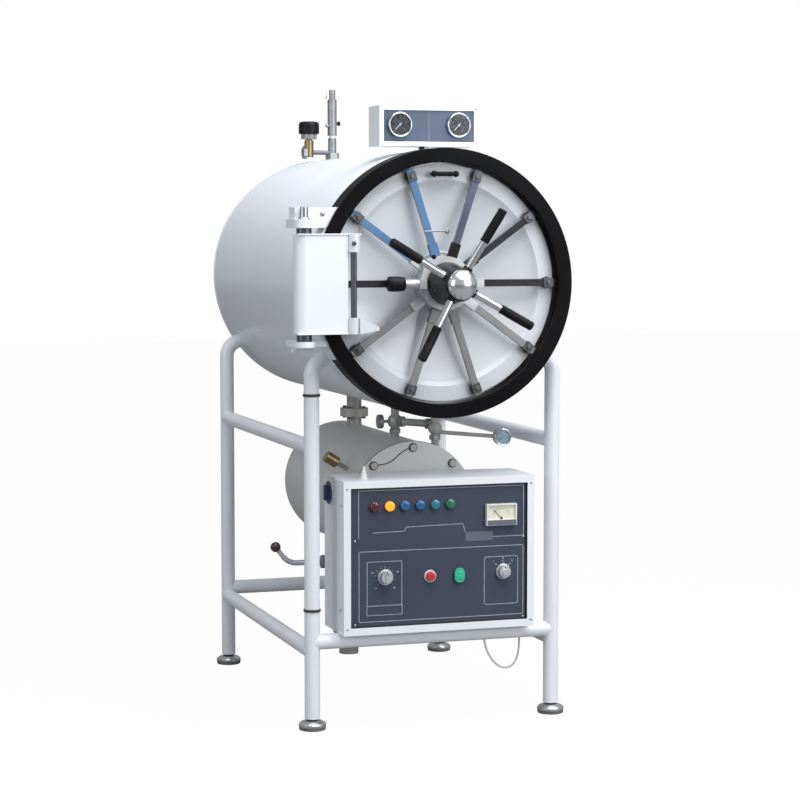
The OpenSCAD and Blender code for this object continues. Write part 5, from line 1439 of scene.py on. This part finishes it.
@dataclass(frozen=True)
class Pipework:
    """The steam pipes with their flange bolts, union nuts, dial gauge and valve knob."""

    main: Span = (-14.0, 745.0)
    feed: Span = (-14.0, 320.0)
    riser: Span = (68.0, 190.0)
    flange: Span = (826.0, 852.0)
    flange_bolt_r: float = 34.5
    valve_z: float = 845.0
    rear_y: float = 1100.0
    fitting: tuple[Point, Point] = ((-1000, 250, 690), (-200, 2000, 800))
    union: Profile = ((0, 0), (17.5, 0), (17.5, 13), (15, 15), (0, 15))
    drain_place: Point = (-266.0, 200.0, 449.0)
    drain_union: Profile = ((0, 0), (20, 0), (20, 14), (17.5, 16), (0, 16))
    pot: Point = (-228.0, 92.0, 262.0)
    ball: Point = (-417.8, 200.0, 498.1)
    ball_reach: float = 16.0
    dial: Point = (236.0, 64.0, 813.0)
    bezel: Profile = ((21, -3), (25.6, -3), (25.6, 1.6), (24.4, 3), (22, 3), (21, 2), (21, -3))
    dial_face: Profile = ((0, -1), (21.6, -1), (21.6, 0.5), (0, 0.5))
    glass: Profile = ((0, 1.8), (21.4, 1.8), (21.4, 2.6), (0, 2.6))

    def build(self) -> None:
        """Makes every piece of the pipework."""
        pipes = mould("steam_pipework", PIPE_PAINT, 1.0)
        second_finish(pipes, BRASS, lambda place, normal: within(place, *self.fitting))
        second_finish(pipes, STEEL, lambda place, normal: place.y > self.rear_y)
        mould("steam_valve_knob", VALVE_STEEL, 0.8)
        lever = mould("drain_lever", KNOB_SILVER, 0.0)
        second_finish(lever, LEVER_BALL, lambda place, normal: (place - Vector(self.ball)).length < self.ball_reach)
        self._flange_bolts()
        self._unions()
        self._dial()

    def _flange_bolts(self) -> None:
        """Makes four bolts with nuts on the flange of the main pipe."""
        x, y = self.main
        pieces = []
        for angle in (45, 135, 225, 315):
            bolt_x = x + self.flange_bolt_r * math.cos(math.radians(angle))
            bolt_y = y + self.flange_bolt_r * math.sin(math.radians(angle))
            pieces.append(hex_bolt("flange_bolt", Facing.UP.seat(bolt_x, bolt_y, self.flange[1]), 13, 6))
            pieces.append(hex_bolt("flange_nut", Facing.DOWN.seat(bolt_x, bolt_y, self.flange[0]), 13, 7))
        trim(Bench.joined("flange_bolts", pieces), DARK_STEEL, "steam_pipework")

    def _unions(self) -> None:
        """Makes six-sided nuts where pipes meet valve bodies, and the drain pot's ring."""
        feed, riser = (*self.feed, self.valve_z), (*self.riser, self.valve_z)
        seats = (line_from(feed, riser) @ shift(0, 0, 19), line_from(riser, feed) @ shift(0, 0, 17),
                 Facing.UP.seat(*self.feed, self.valve_z - 36), Facing.UP.seat(*self.riser, self.valve_z - 46))
        nuts = [Bench.turned("union", self.union, seat, 6, 0.6, smooth=20) for seat in seats]
        trim(Bench.joined("union_nuts", nuts), VALVE_STEEL, "steam_pipework")
        nut = Bench.turned("drain_union", self.drain_union, Facing.LEFT.seat(*self.drain_place), 6, 0.6, smooth=20)
        trim(nut, VALVE_STEEL, "steam_pipework")
        trim(bead("pot_ring", 28, Facing.UP.seat(*self.pot), 2.2), PIPE_PAINT, "steam_pipework")

    def _dial(self) -> None:
        """Makes the small dial gauge's bezel, face, scale and pointer."""
        x, y, z = self.dial
        seat = Facing.FRONT.seat(x, y, z)
        bezel = Bench.turned("small_bezel", self.bezel, seat, 56, 0.0, smooth=50)
        face = Bench.turned("small_face", self.dial_face, seat, 48, 0.0)
        scale = strokes("small_scale", (x, z), (16, 19.5), [225 - 30 * k for k in range(10)], 0.9, y - 0.5)
        pointer = strokes("small_pointer", (x, z), (-5, 14), [205], 1.2, y - 0.8, 0.4)
        glass = Bench.turned("small_glass", self.glass, seat, 48, 0.0)
        dressed("small_dial", [(bezel, CHROME), (face, DIAL_BLUE), (scale, MARK_BLACK), (pointer, MARK_BLACK),
                               (glass, GLASS)], "steam_pipework", replaces=False)


@dataclass(frozen=True)
class TopValves:
    """The safety valve with its lift lever and the vent valve with its black knob."""

    y: float = 1036.0
    vent_x: float = -79.0
    brass: tuple[Point, Point] = ((-96, 0, 0), (-52, 2000, 1707))
    brass_r: float = 15.6
    cross_span: Span = (-60.0, -23.0)
    sleeve: tuple[Point, Point] = ((-16, 0, 1713.6), (16, 2000, 1722.5))
    knob_z: float = 1710.3
    test_place: Span = (14.0, 1762.0)
    test_knob: Profile = ((0, 0), (5, 0), (5, 5), (7.5, 6), (8, 9), (7, 12), (0, 13))
    port_place: Span = (-14.0, 1755.0)
    port: Profile = ((0, 0), (6, 0), (6, 7), (4.5, 8), (0, 8))
    band_heights: Point = (1730.0, 1806.0, 1833.0)
    neck: Profile = ((0, 0), (25, 0), (26, 1), (26, 17), (0, 17))
    flutes: int = 22
    flute_span: Span = (-1.0, 18.0)
    flute_depth: float = 1.6
    cap: Profile = (
        (0, 16.5), (30, 16.5), (32.8, 18.5), (33.5, 22), (33.5, 46), (32.6, 50.5), (29.5, 54.6), (24.5, 57), (0, 57))

    def build(self) -> None:
        """Makes every piece of the top valves."""
        valves = mould("top_valves", VALVE_STEEL, 0.7)
        second_finish(valves, BRASS, lambda place, normal: within(place, *self.brass)
                      and math.hypot(place.x - self.vent_x, place.y - self.y) < self.brass_r)
        near, far = self.cross_span
        second_finish(valves, DARK_STEEL, lambda place, normal: near < place.x < far)
        second_finish(valves, DIAL_WHITE, lambda place, normal: within(place, *self.sleeve))
        mould("safety_lever", CHROME, 0.5)
        (test_x, test_z), (port_x, port_z) = self.test_place, self.port_place
        test_knob = Bench.turned("test_knob", self.test_knob, Facing.RIGHT.seat(test_x, self.y, test_z), 28)
        trim(test_knob, BLACK_GRIP, "top_valves")
        port = Bench.turned("side_port", self.port, Facing.LEFT.seat(port_x, self.y, port_z), 24)
        bands = [bead("valve_band", 15, Facing.UP.seat(0, self.y, z), 1.1) for z in self.band_heights]
        trim(Bench.joined("valve_bands", [port] + bands), VALVE_STEEL, "top_valves")
        seat = Facing.UP.seat(self.vent_x, self.y, self.knob_z)
        neck = Bench.turned("vent_neck", self.neck, seat, soft=0.3, flutes=self.flutes, flute_span=self.flute_span,
                            flute_depth=self.flute_depth)
        cap = Bench.turned("vent_cap", self.cap, seat, 72)
        dressed("vent_knob_turned", [(neck, VALVE_STEEL), (cap, BLACK_GRIP)], "vent_knob")


@dataclass(frozen=True)
class WhiteTube:
    """The tube that hangs in a loop under the cabinet."""

    diameter: float = 6.0
    start: Point = (168.0, 40.0, 265.0)
    offsets: Profile = (
        (0, 0), (0, -15), (1, -30), (3, -46), (6, -62), (11, -77), (18, -91), (27, -105), (38, -117), (51, -127),
        (66, -132), (81, -131), (94, -123), (103, -110), (108, -95), (111, -79), (112, -63), (112, -47), (111, -31),
        (110, -15), (110, 0))

    def build(self) -> None:
        """Adds the tube as a round curve that goes back into the cabinet."""
        x, y, z = self.start
        points = [(x + across, y, z + rise) for across, rise in self.offsets]
        piece = Bench.route("loop_tube", points, self.diameter / 2, 6)
        fit(piece, TUBE_WHITE, "hanging_tube")


@dataclass(frozen=True)
class Viewpoint:
    """The camera, placed and pitched as the photograph was taken."""

    place: Point = (-2072.0, -6085.6, 1444.6)
    turn_right: float = 0.3131
    tilt_down: float = 0.0795
    lens: float = 101.19
    sensor: float = 36.0

    def build(self) -> None:
        """Adds the camera and makes it the scene's own."""
        data = bpy.data.cameras.new("camera")
        data.lens = self.lens
        data.sensor_width = self.sensor
        data.clip_end = 60.0
        camera = bpy.data.objects.new("camera", data)
        camera.location = at(*self.place)
        camera.rotation_euler = (QUARTER_TURN - self.tilt_down, 0.0, -self.turn_right)
        bpy.context.scene.collection.objects.link(camera)
        bpy.context.scene.camera = camera


@dataclass(frozen=True)
class SoftLight:
    """A square light of the studio, in metres and watts, that points at the machine."""

    name: str
    place: Point
    size: float
    power: float
    aim: Point = (0.0, -0.3, 1.0)

    def build(self) -> None:
        """Adds the light."""
        data = bpy.data.lights.new(self.name, "AREA")
        data.shape = "SQUARE"
        data.size = self.size
        data.energy = self.power
        lamp = bpy.data.objects.new(self.name, data)
        lamp.location = self.place
        towards = Vector(self.aim) - Vector(self.place)
        lamp.rotation_euler = towards.to_track_quat("-Z", "Y").to_euler()
        bpy.context.scene.collection.objects.link(lamp)


@dataclass(frozen=True)
class Studio:
    """A pale floor, a white surround and soft lights."""

    floor_size: float = 40.0
    floor_look: float = 1.05
    floor_share: float = 0.93
    white: Colour = (1.0, 1.0, 1.0)
    surround_colour: Colour = (0.93, 0.96, 1.0)
    surround_light: float = 0.42
    surround_look: float = 1.0
    lights: tuple[SoftLight, ...] = (
        SoftLight("top light", (0.6, -1.6, 4.6), 4.0, 300.0), SoftLight("front light", (3.2, -5.6, 2.6), 3.0, 140.0),
        SoftLight("left light", (-5.0, -2.4, 2.4), 3.0, 62.0))

    def build(self) -> None:
        """Adds the floor, the surround and the lights."""
        Bench.clear()
        bpy.ops.mesh.primitive_plane_add(size=self.floor_size, location=(0, 0, 0))
        floor = bpy.context.active_object
        floor.name = "floor"
        floor.data.materials.append(self._floor_look(FLOOR_PALE.material()))
        self._surround()
        for light in self.lights:
            light.build()
        bpy.context.scene.view_settings.view_transform = "Standard"

    def _floor_look(self, material: bpy.types.Material) -> bpy.types.Material:
        """Shows the floor to the camera as bright as the surround, with a soft shadow left on it.

        Args:
            material: the floor's material.

        Returns:
            The same material.
        """
        nodes, links = material.node_tree.nodes, material.node_tree.links
        bright = nodes.new("ShaderNodeEmission")
        bright.inputs["Color"].default_value = (*self.white, 1.0)
        bright.inputs["Strength"].default_value = self.floor_look
        path = nodes.new("ShaderNodeLightPath")
        share = nodes.new("ShaderNodeMath")
        share.operation = "MULTIPLY"
        share.inputs[1].default_value = self.floor_share
        mix = nodes.new("ShaderNodeMixShader")
        links.new(path.outputs["Is Camera Ray"], share.inputs[0])
        links.new(share.outputs["Value"], mix.inputs["Fac"])
        links.new(nodes["Principled BSDF"].outputs["BSDF"], mix.inputs[1])
        links.new(bright.outputs["Emission"], mix.inputs[2])
        links.new(mix.outputs["Shader"], nodes["Material Output"].inputs["Surface"])
        return material

    def _surround(self) -> None:
        """Lights evenly at one strength and shows white at another."""
        world = bpy.data.worlds.new("surround")
        world.use_nodes = True
        nodes, links = world.node_tree.nodes, world.node_tree.links
        light = nodes["Background"]
        light.inputs["Color"].default_value = (*self.surround_colour, 1.0)
        light.inputs["Strength"].default_value = self.surround_light
        look = nodes.new("ShaderNodeBackground")
        look.inputs["Color"].default_value = (*self.white, 1.0)
        look.inputs["Strength"].default_value = self.surround_look
        path = nodes.new("ShaderNodeLightPath")
        mix = nodes.new("ShaderNodeMixShader")
        links.new(path.outputs["Is Camera Ray"], mix.inputs["Fac"])
        links.new(light.outputs["Background"], mix.inputs[1])
        links.new(look.outputs["Background"], mix.inputs[2])
        links.new(mix.outputs["Shader"], nodes["World Output"].inputs["Surface"])
        bpy.context.scene.world = world


INSIDE: dict[str, Finish] = {
    "insulation": WOOL, "pressure_vessel": CHAMBER_STEEL, "chamber_rack": CHAMBER_STEEL, "cam_spindle": STEEL}


def main() -> None:
    """Builds the scene in order."""
    logging.basicConfig(level=logging.INFO, format="%(message)s")
    Viewpoint().build()
    WhiteTube().build()
    Studio().build()
    for node, finish in INSIDE.items():
        keep(node, finish)
    for group in (TubeFrame(), Feet(), Barrel(), Door(), LockingArms(), Hub(), Handwheel(), Hinge(), GaugeBox(),
                  Cabinet(), Boiler(), Pipework(), TopValves()):
        group.build()


if __name__ == "__main__":
    main()
